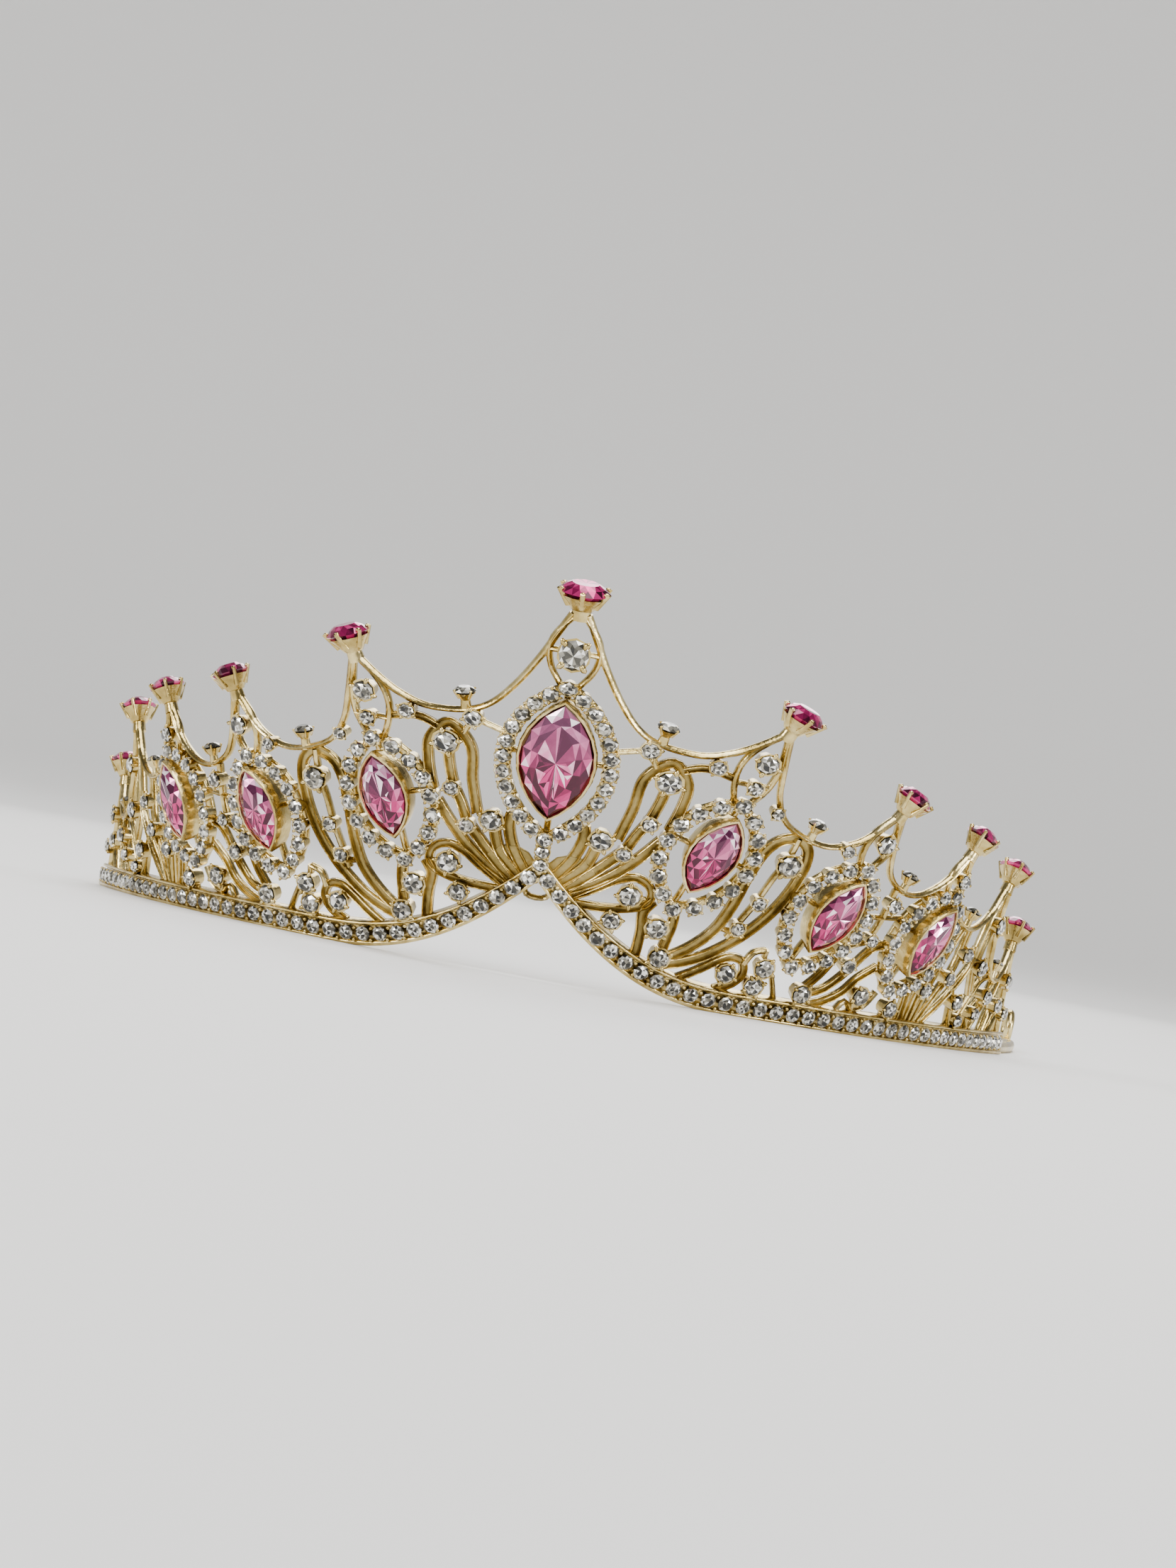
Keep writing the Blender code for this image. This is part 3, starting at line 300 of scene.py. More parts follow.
# The open wirework of the front: swags between the spikes, the ribs of the palmette, the harp and
# its arch, ladder posts, the leaf and the petals. They are cast in one with the band, about a
# millimetre thick, and rounded over by tumbling.
WIRES = [
    ("swag_0", 0.8, [(0.7, 47.2), (1.9, 44.2), (3.3, 40.8), (5.2, 37.2), (7.4, 34.3), (10.0, 32.9),
                     (14.0, 32.5), (17.0, 33.4), (19.6, 35.0), (22.0, 37.0)]),
    ("swag_1", 0.8, [(22.7, 36.9), (23.1, 32.6), (23.7, 28.8), (25.4, 25.9), (28.9, 24.2), (32.0, 23.9),
                     (35.2, 25.1), (37.4, 27.1), (39.1, 29.2)]),
    ("swag_2", 0.8, [(39.9, 29.0), (40.4, 24.8), (41.5, 21.5), (44.5, 19.6), (47.5, 19.6), (50.4, 21.0),
                     (52.6, 23.0), (54.3, 25.8)]),
    ("swag_3", 0.8, [(55.2, 25.6), (55.2, 22.2), (56.3, 18.8), (58.6, 16.7), (61.4, 16.2), (64.4, 17.3),
                     (67.0, 19.4), (69.1, 22.3)]),
    ("swag_4", 0.8, [(70.1, 22.2), (70.1, 17.2), (71.4, 12.6), (73.6, 10.2), (76.4, 9.9), (79.0, 11.6),
                     (81.3, 14.7)]),
    ("rim_end", 0.9, [(82.1, 14.7), (82.9, 10.0), (83.6, 5.6), (84.0, 1.4)]),
    ("spike_0", 0.7, [(0.4, 47.0), (1.9, 44.6), (2.4, 42.6), (2.0, 40.2), (0.7, 37.9)]),
    ("spike_1_inner", 0.8, [(21.8, 36.8), (19.4, 34.4), (18.3, 31.8), (18.4, 29.2), (18.9, 27.2)]),
    ("spike_1_outer", 0.8, [(22.5, 36.6), (22.6, 32.6), (21.9, 29.6), (20.3, 27.2)]),
    ("spike_2_inner", 0.8, [(38.9, 29.0), (36.9, 26.7), (36.2, 24.2), (36.5, 21.8)]),
    ("spike_2_outer", 0.8, [(39.6, 28.8), (40.0, 25.4), (38.8, 22.8), (37.2, 21.3)]),
    ("spike_3_inner", 0.8, [(54.2, 25.6), (52.5, 23.4), (52.3, 21.2), (53.0, 19.2)]),
    ("spike_3_outer", 0.8, [(54.9, 25.4), (55.3, 22.4), (54.0, 19.6)]),
    ("spike_4_inner", 0.8, [(69.0, 22.2), (66.9, 19.2), (66.0, 16.2), (65.4, 12.6)]),
    ("spike_4_cross", 0.8, [(66.3, 17.3), (70.0, 17.4)]),
    ("spike_5_inner", 0.8, [(81.0, 14.4), (79.6, 10.4), (77.2, 6.6), (75.6, 2.4)]),
    ("arch", 0.9, [(7.7, 20.0), (8.6, 24.2), (9.1, 28.4), (11.6, 30.9), (13.6, 28.6), (13.6, 25.6),
                   (12.9, 22.3)]),
    ("harp", 0.9, [(8.7, 18.6), (9.6, 21.0), (10.6, 23.2), (11.3, 26.0), (11.6, 28.8)]),
    ("arch_tie", 0.8, [(8.9, 32.3), (9.9, 30.0)]),
    ("ring_tie", 0.7, [(5.0, 30.8), (8.9, 32.0)]),
    ("arch_bar", 0.7, [(12.8, 30.2), (15.2, 31.0), (18.4, 30.3)]),
    ("rib_1", 1.0, [(1.5, 13.4), (3.3, 16.4), (4.1, 19.2), (3.9, 21.0)]),
    ("rib_2", 1.0, [(2.4, 12.9), (4.9, 16.0), (5.9, 19.9)]),
    ("rib_3", 1.0, [(3.1, 12.4), (6.0, 15.4), (8.7, 18.7)]),
    ("rib_4", 1.0, [(3.9, 12.0), (7.5, 14.8), (10.3, 17.9), (12.4, 20.9)]),
    ("petal_0", 0.8, [(3.4, 11.3), (6.4, 13.1), (8.8, 14.9), (10.9, 15.5), (12.6, 14.4), (12.7, 12.6),
                      (11.0, 11.5), (8.0, 10.9), (4.4, 10.8)]),
    ("post_inner", 0.95, [(13.3, 12.9), (12.4, 11.2), (12.7, 8.4), (12.7, 3.4)]),
    ("post_outer", 0.95, [(15.9, 12.6), (16.1, 10.2), (15.6, 5.8)]),
    ("leaf_inner", 1.0, [(16.6, 5.9), (19.0, 7.8), (21.2, 10.6), (22.4, 14.1), (23.1, 18.1), (24.0, 21.6),
                         (25.4, 23.5), (27.6, 24.3)]),
    ("leaf_outer", 1.0, [(27.6, 24.3), (29.1, 22.9), (29.4, 20.3), (28.6, 16.8), (27.0, 13.4),
                         (24.6, 10.2), (21.4, 7.3), (18.6, 5.7), (16.4, 5.0)]),
    ("leaf_rib", 0.8, [(22.9, 9.9), (23.6, 11.6), (25.1, 15.3), (26.1, 18.6), (27.0, 20.9), (27.5, 24.2)]),
    ("leaf_tie", 0.8, [(22.0, 11.0), (24.7, 10.4)]),
    ("petal_1", 0.8, [(17.8, 3.0), (20.4, 4.7), (22.7, 6.5), (24.3, 7.4), (25.9, 7.1), (26.5, 5.6),
                      (25.6, 4.0), (23.4, 2.8)]),
    ("petal_arc", 0.8, [(26.2, 6.8), (26.9, 8.5), (28.4, 9.1)]),
    ("strut_2", 0.7, [(29.2, 6.8), (30.2, 6.2), (32.1, 2.2)]),
    ("rib_5", 0.8, [(35.4, 5.0), (37.0, 7.2), (38.2, 9.8)]),
    ("rib_6", 0.8, [(35.8, 4.3), (38.4, 5.4), (40.7, 8.0), (43.0, 11.3), (45.0, 12.4)]),
    ("rib_7", 0.8, [(36.0, 2.6), (38.8, 3.6), (41.2, 5.2), (42.9, 7.4), (45.3, 9.3)]),
    ("cross_low", 0.7, [(39.6, 11.4), (41.9, 12.3), (45.0, 12.6)]),
    ("cross_high", 0.7, [(39.9, 15.7), (43.0, 15.9), (46.0, 16.2)]),
    ("cross_post", 0.8, [(42.2, 12.9), (42.9, 15.8), (43.3, 19.8)]),
    ("petal_2", 0.7, [(41.2, 2.6), (42.3, 4.2), (43.7, 3.2), (45.6, 3.9), (46.9, 6.0)]),
    ("post_3_inner", 0.9, [(52.6, 6.6), (53.0, 2.4)]),
    ("post_3_outer", 0.9, [(54.8, 7.2), (54.5, 2.4)]),
    ("fan_1", 0.8, [(55.3, 2.4), (56.3, 7.2), (57.7, 12.0), (59.7, 16.4)]),
    ("fan_2", 0.8, [(56.2, 2.4), (58.8, 7.2), (60.8, 11.0), (61.4, 16.0)]),
    ("fan_3", 0.8, [(56.9, 2.3), (60.0, 5.4), (62.8, 8.4), (65.0, 11.4), (65.4, 14.0)]),
    ("fan_tie", 0.8, [(57.2, 10.3), (60.0, 9.6)]),
    ("leaf_3", 0.8, [(65.2, 2.2), (67.6, 6.4), (70.2, 9.6), (73.4, 10.4)]),
    ("leaf_3_stem", 0.8, [(66.4, 11.0), (68.2, 7.2)]),
    ("leaf_3_head", 0.8, [(66.8, 11.4), (67.4, 14.4), (68.3, 17.3)]),
    ("leaf_4", 0.8, [(70.2, 2.2), (72.8, 5.6), (75.8, 10.0)]),
    ("leaf_5", 0.8, [(78.0, 2.2), (80.2, 4.8), (83.2, 7.4)]),
    ("stem_0", 0.7, [(0.0, 42.4), (2.3, 42.4)]),
    ("stem_1", 0.7, [(18.3, 30.0), (22.2, 30.0)]),
    ("stem_2", 0.7, [(28.6, 7.0), (28.5, 9.2)]),
    ("stem_3", 0.7, [(43.7, 5.4), (43.7, 3.0)]),
    ("stem_4", 0.7, [(49.5, 4.3), (49.5, 2.4)]),
    ("stem_5", 0.7, [(64.6, 2.4), (63.2, 6.4), (62.2, 8.2)]),
    ("stem_6", 0.7, [(71.9, 7.6), (69.4, 5.2), (69.9, 2.4)]),
    ("stem_7", 0.7, [(28.0, 4.45), (28.0, 2.4)]),
    ("column", 1.5, [(0.0, 14.4), (0.0, 18.6)]),
    ("eye_0", 0.7, [(-1.5, 13.4), (-1.2, 10.9), (1.2, 10.9), (1.5, 13.4)]),
]
WIRE_DEPTH = 0.62
WIRE_MIDDLE = -0.6
WIRE_STEP = 0.6
STRAP = 1.42
CHANNELLED = ("rib", "leaf_inner", "leaf_outer", "harp", "arch", "post", "fan", "petal_0", "petal_1",
              "leaf_3", "leaf_4")
CHANNEL_DEPTH = 0.26
CHANNEL_MIDDLE = -0.90
RIM_WIDTH = 0.34
RIM_DEPTH = 0.46
RIM_MIDDLE = -0.62
PALMETTE_WEB = [(0.0, 12.4), (4.3, 10.9), (6.6, 13.2), (6.2, 15.0), (4.6, 16.6), (3.0, 16.8),
                (1.6, 16.2), (0.8, 15.2)]
WEB_BACK = -1.1
WEB_THICKNESS = 0.52
WEB_EDGE = 0.14


def smooth_line(knots):
    """Points on a smooth curve through the knots."""
    ends = [knots[0]] + list(knots) + [knots[-1]]
    line = [knots[0]]
    for a, b, c, d in zip(ends, ends[1:], ends[2:], ends[3:]):
        pieces = max(1, round(math.dist(b, c) / WIRE_STEP))
        for t in np.linspace(0, 1, pieces + 1)[1:]:
            line.append(tuple(
                0.5 * (2 * b[i] + (c[i] - a[i]) * t + (2 * a[i] - 5 * b[i] + 4 * c[i] - d[i]) * t * t
                       + (3 * b[i] - a[i] - 3 * c[i] + d[i]) * t ** 3) for i in (0, 1)))
    return line


def draw(bm, lines, width, closed=False, depth=WIRE_DEPTH, middle=WIRE_MIDDLE):
    """Lays wires of one width along lines on the flat, and adds them to bm."""
    curve = bpy.data.curves.new("wire", "CURVE")
    curve.dimensions = "3D"
    curve.bevel_depth = width / 2
    curve.bevel_resolution = 2
    curve.use_fill_caps = True
    for line in lines:
        spline = curve.splines.new("POLY")
        spline.points.add(len(line) - 1)
        spline.points.foreach_set("co", [c for s, h in line for c in (s, h, 0.0, 1.0)])
        spline.use_cyclic_u = closed
    holder = bpy.data.objects.new("wire", curve)
    mesh = bpy.data.meshes.new_from_object(holder)
    bpy.data.objects.remove(holder)
    bpy.data.curves.remove(curve)
    mesh.transform(Matrix.Diagonal((1.0, 1.0, depth / (width / 2), 1.0)))
    mesh.transform(Matrix.Translation((0.0, 0.0, middle)))
    bm.from_mesh(mesh)
    bpy.data.meshes.remove(mesh)


def beside(line, off):
    """The line moved sideways by off."""
    moved = []
    for number, (s, h) in enumerate(line):
        before = line[max(0, number - 1)]
        after = line[min(len(line) - 1, number + 1)]
        way = Vector((after[0] - before[0], after[1] - before[1])).normalized()
        moved.append((s - way.y * off, h + way.x * off))
    return moved


# Painted shade: the floors of the channels and the palmette web between the ribs get a darker gold than
# the rest, for the shade in these recesses.
channel_gold_painted_shade = plated("channel_gold_painted_shade", [
    (0.30, (0.16, 0.115, 0.035)), (0.47, (0.30, 0.225, 0.075)), (0.66, (0.46, 0.36, 0.15)),
], roughest=0.55, polish=0.32, dents=0.45)
wirework = bmesh.new()
channels = bmesh.new()
for width in sorted({row[1] for row in WIRES}):
    plain = []
    channelled = []
    for name, own, knots in WIRES:
        if own != width:
            continue
        line = smooth_line(knots)
        both = [line]
        if any(s for s, h in line):
            both.append([(-s, h) for s, h in line])
        if name.startswith(CHANNELLED) and "tie" not in name:
            channelled += both
        else:
            plain += both
    if plain:
        draw(wirework, plain, width)
    if channelled:
        strap = width * STRAP
        draw(channels, channelled, strap, depth=CHANNEL_DEPTH, middle=CHANNEL_MIDDLE)
        for off in (-1, 1):
            rims = [beside(line, off * (strap - RIM_WIDTH) / 2) for line in channelled]
            draw(wirework, rims, RIM_WIDTH, depth=RIM_DEPTH, middle=RIM_MIDDLE)
for side in (-1, 1):
    web = bmesh.new()
    plate = web.faces.new([web.verts.new((side * s, h, WEB_BACK)) for s, h in PALMETTE_WEB])
    grown = bmesh.ops.extrude_face_region(web, geom=[plate])["geom"]
    bmesh.ops.translate(web, vec=(0, 0, WEB_THICKNESS),
                        verts=[v for v in grown if isinstance(v, bmesh.types.BMVert)])
    bmesh.ops.recalc_face_normals(web, faces=web.faces)
    bmesh.ops.bevel(web, geom=web.edges[:], offset=WEB_EDGE, segments=2, profile=0.5, affect="EDGES",
                    material=-1)
    take(channels, web)
laid("wirework", wirework, gold, True, "cast_frame")
laid("wire_channels", channels, channel_gold_painted_shade, True, "cast_frame")

# The stones of the base row: round clear glass with a foiled back, two millimetres across, side by
# side in the channel of the band, thirty-seven to each half. Each is cut with a table and two rows
# of facets, and is held by small beads of metal between it and the next.
ROW_HEIGHT = 1.6
ROW_STONES = 37
ROW_PITCH = 2.35
ROW_START = 0.47
ROW_LEVEL = 0.86
ROW_STONE = dict(radius=0.98, sides=10, crown=0.42, belly=0.3, table=0.55)
STONE_LIFT = 0.05
BEAD_RADIUS = 0.26
BEAD_ALONG = 1.17
BEAD_OFF = 0.78
FLAW_SCALE = 900.0
FLAW_RANGE = 0.24
FACING = 0.97
LARGE_FACET = 0.3
DARK_TABLE_REFLECTION = 1.4
DARKEST_FACET = 0.26
FACET_RANGE = 0.68
CULET = 0.3
CROWN_ROWS = (0.62, 0.38)
TABLE_DIP = 0.02


def stone_finish(name, stops, painted_glow, coat, lit_top_stops=None):
    """Foiled glass: every facet is painted its own tone, a painted reflection of something else of the
    room.
    """
    finish = Finish(name, Roughness=0.05, Metallic=0.6, IOR=1.55, Coat_Weight=coat, Coat_Roughness=0.02)
    tone = finish.node("ShaderNodeAttribute", {"attribute_name": "tone"}, {}, "Fac")
    place = finish.node("ShaderNodeTexCoord", {}, {}, "Object")
    cloud = finish.node("ShaderNodeTexNoise", {}, {"Vector": place, "Scale": FLAW_SCALE, "Detail": 2.0})
    level = tone + cloud * FLAW_RANGE - FLAW_RANGE / 2
    colour = finish.node("ShaderNodeValToRGB", {"stops": stops}, {0: level})
    # Painted light from above: facets higher up the stone are mixed towards the paler ramp.
    if lit_top_stops:
        rise = finish.node("ShaderNodeAttribute", {"attribute_name": "rise"}, {}, "Fac")
        high = finish.node("ShaderNodeValToRGB", {"stops": lit_top_stops}, {0: level})
        colour = finish.node("ShaderNodeMix", {"data_type": "RGBA"}, {0: rise, 6: colour, 7: high}, 2)
    finish.give("Base Color", colour)
    # Painted glow: the colour is also given as emission, so the stones give off a little light though they
    # are no lamps.
    finish.give("Emission Color", colour)
    finish.give("Emission Strength", painted_glow)
    return finish


# The clear ramp runs from near black to white: painted dark reflections and painted highlights.
clear = stone_finish("clear_crystal", [
    (0.12, (0.007, 0.007, 0.007)), (0.42, (0.075, 0.070, 0.055)), (0.68, (0.36, 0.34, 0.28)),
    (0.90, (1.0, 1.0, 0.96)),
], painted_glow=0.02, coat=0.55)


def sparkle(face, chance):
    """Painted glints: small facets get a random tone from dark to bright; the table is painted mostly
    dark, a painted reflection of the foil, and now and then a painted flash.
    """
    if abs(face.normal.z) > FACING or face.calc_area() > LARGE_FACET:
        return chance.random() ** DARK_TABLE_REFLECTION
    return DARKEST_FACET + FACET_RANGE * chance.random()


def tones(bm, seed, lift=sparkle, rise=None):
    """Gives each facet its painted tone of reflected light, and how far up the stone it lies."""
    chance = random.Random(seed)
    tone = bm.faces.layers.float.new("tone")
    high = bm.faces.layers.float.new("rise")
    bm.normal_update()
    for face in bm.faces:
        face[tone] = min(1.0, max(0.0, lift(face, chance)))
        face[high] = min(1.0, max(0.0, rise(face))) if rise else 0.0


def in_turn(bm):
    """Orders the sides of a fresh extrusion by where they lie, so each run draws them the same tones."""
    bm.faces.index_update()
    middle = sum((vert.co for vert in bm.verts), Vector()) / len(bm.verts)

    def way_round(face):
        off = face.calc_center_median() - middle
        return math.atan2(off.y, off.x)

    walls = [face for face in bm.faces if len(face.verts) == 4]
    places = [face.index for face in walls]
    place_of = {face.index: place for face, place in zip(sorted(walls, key=way_round), places)}
    bm.faces.sort(key=lambda face: place_of.get(face.index, face.index))


def spun_stone(radius, sides, crown, belly, table):
    """A round cut stone: belly, girdle, two rows of crown facets and a table, along z."""
    stone = bmesh.new()
    bmesh.ops.create_circle(stone, cap_ends=True, segments=sides, radius=radius)
    back = stone.faces[:]
    grown = bmesh.ops.extrude_face_region(stone, geom=back)["geom"]
    front = [f for f in grown if isinstance(f, bmesh.types.BMFace)]
    bmesh.ops.translate(stone, vec=(0, 0, -belly), verts=back[0].verts[:])
    bmesh.ops.scale(stone, vec=(CULET, CULET, 1), verts=back[0].verts[:])
    in_turn(stone)
    half_step = Matrix.Rotation(math.pi / sides, 3, "Z")
    facets = []
    for share in CROWN_ROWS:
        facets += bmesh.ops.inset_individual(stone, faces=front, thickness=radius * (1 - table) / 2,
                                             depth=crown * share)["faces"]
        bmesh.ops.rotate(stone, cent=(0, 0, 0), matrix=half_step, verts=front[0].verts[:])
    bmesh.ops.triangulate(stone, faces=facets)
    bmesh.ops.poke(stone, faces=front, offset=-radius * TABLE_DIP, center_mode="MEAN")
    return stone


def put(bm, made, s, h, z, turn=0.0):
    """Sets a stone or a cup on the flat sheet."""
    where = Matrix.Translation((s, h, z)) @ Matrix.Rotation(turn, 4, "Z")
    bmesh.ops.transform(made, matrix=where, verts=made.verts)
    take(bm, made)


row_spots = [ROW_PITCH * ROW_START]
while len(row_spots) < ROW_STONES:
    s = row_spots[-1]
    row_spots.append(s + ROW_PITCH / math.hypot(1.0, peak(s + 0.5) - peak(s - 0.5)))
stones = bmesh.new()
beads = bmesh.new()
for s in row_spots:
    between = s + BEAD_ALONG
    for side in (-1, 1):
        put(stones, spun_stone(**ROW_STONE), side * s, ROW_HEIGHT + STONE_LIFT + peak(s), ROW_LEVEL)
        for step in (-1, 1):
            bead = bmesh.new()
            bmesh.ops.create_icosphere(bead, subdivisions=1, radius=BEAD_RADIUS)
            put(beads, bead, side * between, ROW_HEIGHT + peak(between) + step * BEAD_OFF, ROW_LEVEL)
tones(stones, 3)
laid("base_stones_cut", stones, clear, False, "base_stones")
laid("base_prongs", beads, gold, True, "base_stones")

# The navette settings. Each is a deep plain box of metal that narrows a little to the back, with a
# rolled lip round the stone, small bridges to its ring, and the ring itself: a scalloped row of
# four-prong cups round the box, each with a clear stone.
GROUPS = [
    dict(name="0", s=0.0, h=29.3, tilt=0, length=7.9, width=4.1, ring_length=9.75,
         ring_width=5.45, ring_shift=-0.85, ring_stones=12, ring_radius=0.85),
    dict(name="1", s=17.8, h=20.9, tilt=16.5, length=5.6, width=3.0, ring_length=7.65,
         ring_width=5.0, ring_shift=-0.8, ring_stones=8, ring_radius=0.92),
    dict(name="2", s=34.7, h=15.7, tilt=20.5, length=5.6, width=3.0, ring_length=7.5,
         ring_width=5.0, ring_shift=-0.8, ring_stones=8, ring_radius=0.92),
    dict(name="3", s=50.9, h=14.3, tilt=23.0, length=5.5, width=2.9, ring_length=7.3,
         ring_width=4.9, ring_shift=-0.8, ring_stones=8, ring_radius=0.92),
]
BOX_IN = (0.5, 0.45)
BOX_BACK = -1.3
BOX_DEPTH = 2.9
BOX_FLARE = 0.42
BOX_STEPS = 10
BOX_LIP = ((0.14, 0.36), (0.20, 0.02), (0.12, -0.22), (0.30, -1.3))
RING_WIRE = 1.25
RING_MIDDLE = -0.62
BRIDGE_WIDTH = 0.8
BRIDGE_LEVEL = -0.3
INTO_BOX = (0.7, 0.6)
INTO_RING = (0.4, 0.3)
RING_CUP = dict(grown=1.04, rise=1.5, level=0.75)
RING_STONE = dict(sides=8, crown=0.42, belly=0.2, table=0.50)
RING_STONE_GROWN = 1.10
RING_STONE_LEVEL = 0.80
CUP_FOOT = 0.82
CUP_MOUTH = 1.12
CUP_SIDES = 10
PRONG_RADIUS = 0.27
PRONG_SHAPE = (1.35, 0.85, 1.0)
PRONG_OUT = 1.03
PRONG_UP = 0.10


def cup(radius, rise, prongs):
    """A cup that widens to the stone's edge, with prong tips bent over it, along z."""
    made = bmesh.new()
    bmesh.ops.create_cone(made, cap_ends=True, segments=CUP_SIDES, radius1=radius * CUP_FOOT,
                          radius2=radius * CUP_MOUTH, depth=rise)
    bmesh.ops.translate(made, vec=(0, 0, -rise / 2), verts=made.verts)
    for number in range(prongs):
        turn = 2 * math.pi * (number + 0.5) / prongs
        tip = bmesh.new()
        bmesh.ops.create_icosphere(tip, subdivisions=1, radius=radius * PRONG_RADIUS)
        bmesh.ops.scale(tip, vec=PRONG_SHAPE, verts=tip.verts)
        bmesh.ops.translate(tip, vec=(radius * PRONG_OUT, 0, radius * PRONG_UP), verts=tip.verts)
        bmesh.ops.rotate(tip, cent=(0, 0, 0), matrix=Matrix.Rotation(turn, 3, "Z"), verts=tip.verts)
        take(made, tip)
    return made


def both_sides(rows):
    """Each row for the right half and, mirrored, for the left one, with its solid's ending."""
    for row in rows:
        if row["s"] == 0:
            yield row, row["name"]
        else:
            yield row, row["name"] + "_right"
            yield dict(row, s=-row["s"], tilt=-row.get("tilt", 0)), row["name"] + "_left"


def on_axis(group, across, up):
    """A flat place measured across and along a leaning axis."""
    tilt = math.radians(group["tilt"])
    return (group["s"] + across * math.cos(tilt) + up * math.sin(tilt),
            group["h"] - across * math.sin(tilt) + up * math.cos(tilt))


def navette(group, half_length, half_width, shift, steps):
    """Pointed oval of two arcs on the group's axis, with steps points to each arc."""
    radius = (half_length ** 2 + half_width ** 2) / (2 * half_width)
    reach = math.asin(half_length / radius)
    points = []
    for side in (1, -1):
        for number in range(steps):
            angle = side * reach * (2 * number / steps - 1)
            across = side * (radius * math.cos(angle) - radius + half_width)
            points.append(on_axis(group, across, shift + radius * math.sin(angle)))
    return points


def oval_block(group, inset, back, thickness, steps):
    """A block on a pointed oval that lies inset within the group's stone, and its front face."""
    made = bmesh.new()
    outline = navette(group, group["length"] - inset[0], group["width"] - inset[1], 0, steps)
    flat = made.faces.new([made.verts.new((s, h, back)) for s, h in outline])
    flat.normal_update()
    if flat.normal.z < 0:
        flat.normal_flip()
    grown = bmesh.ops.extrude_face_region(made, geom=[flat])["geom"]
    front = [f for f in grown if isinstance(f, bmesh.types.BMFace)][0]
    bmesh.ops.translate(made, vec=(0, 0, thickness), verts=front.verts[:])
    return made, front


def step_in(bm, face, thickness, depth):
    """Insets the face, lifts it and gives the facets round it."""
    return bmesh.ops.inset_individual(bm, faces=[face], thickness=thickness, depth=depth,
                                      use_even_offset=True)["faces"]


metal = bmesh.new()
ring_stones = bmesh.new()
for group, _ in both_sides(GROUPS):
    box, mouth = oval_block(group, BOX_IN, BOX_BACK, BOX_DEPTH, BOX_STEPS)
    middle = mouth.calc_center_median()
    for vert in mouth.verts:
        vert.co += (vert.co - middle).normalized() * BOX_FLARE
    for thickness, depth in BOX_LIP:
        step_in(box, mouth, thickness, depth)
    take(metal, box)
    ring = navette(group, group["ring_length"], group["ring_width"], group["ring_shift"],
                   group["ring_stones"])
    draw(metal, [ring], RING_WIRE, closed=True, middle=RING_MIDDLE)
    low = group["ring_shift"] - group["ring_length"]
    high = group["ring_shift"] + group["ring_length"]
    bridges = [
        ((0, low + INTO_RING[0]), (0, INTO_BOX[0] - group["length"])),
        ((0, group["length"] - INTO_BOX[0]), (0, high - INTO_RING[1])),
        ((INTO_BOX[1] - group["width"], BRIDGE_LEVEL), (-group["ring_width"], BRIDGE_LEVEL)),
        ((group["width"] - INTO_BOX[1], BRIDGE_LEVEL), (group["ring_width"], BRIDGE_LEVEL)),
    ]
    for start, end in bridges:
        draw(metal, [[on_axis(group, *start), on_axis(group, *end)]], BRIDGE_WIDTH)
    for number, (s, h) in enumerate(ring):
        before = ring[number - 1]
        after = ring[(number + 1) % len(ring)]
        turn = math.atan2(after[1] - before[1], after[0] - before[0])
        size = group["ring_radius"]
        put(metal, cup(size * RING_CUP["grown"], RING_CUP["rise"], 4), s, h, RING_CUP["level"], turn)
        put(ring_stones, spun_stone(size * RING_STONE_GROWN, **RING_STONE), s, h, RING_STONE_LEVEL, turn)
tones(ring_stones, 11)
laid("navette_settings", metal, gold, True, "cast_frame")
laid("ring_stones", ring_stones, clear, False, "cast_frame")

# The navette stones: seven pointed ovals of pink foiled glass. Their facets are painted paler and lilac
# towards the top, as painted light from above, and deeper pink below. Each has a bold table with long
# rays and two rows of facets, and is held by the lip of its box.
GEM_IN = (0.80, 0.60)
GEM_BACK = 0.75
GEM_GIRDLE = 1.02
GEM_STEPS = 7
KITES = (0.22, 0.55)
KITE_POINT = 0.08
STARS = (0.17, 0.30)
TABLE_POINT = -0.16
SHARD_POINTS = (0.05, 0.03)
SHARDS_BELOW = 0.05
MIDDLE_TONE = 0.43
TONE_CLIMB = 0.08
TONE_RANGE = 1.25
MIDDLE_RISE = 0.28
RISE_CLIMB = 1.3
# The pink ramps run from near black to a pale pink: painted dark reflections and painted highlights; the
# second, paler ramp is the painted light on the upper facets.
pink = stone_finish("pink_glass", [
    (0.05, (0.05, 0.001, 0.015)), (0.36, (0.25, 0.006, 0.072)), (0.64, (0.54, 0.024, 0.17)),
    (0.86, (0.80, 0.11, 0.33)), (0.99, (1.0, 0.70, 0.82)),
], painted_glow=0.05, coat=0.35, lit_top_stops=[
    (0.05, (0.09, 0.012, 0.05)), (0.36, (0.31, 0.065, 0.165)), (0.64, (0.56, 0.185, 0.345)),
    (0.86, (0.78, 0.43, 0.59)), (0.99, (1.0, 0.88, 0.94)),
])


def height_on(group, face):
    """How far up its stone a facet lies, from -1 at the lower point to 1 at the upper one."""
    tilt = math.radians(group["tilt"])
    off = face.calc_center_median() - Vector((group["s"], group["h"], 0))
    return (off.x * math.sin(tilt) + off.y * math.cos(tilt)) / group["length"]


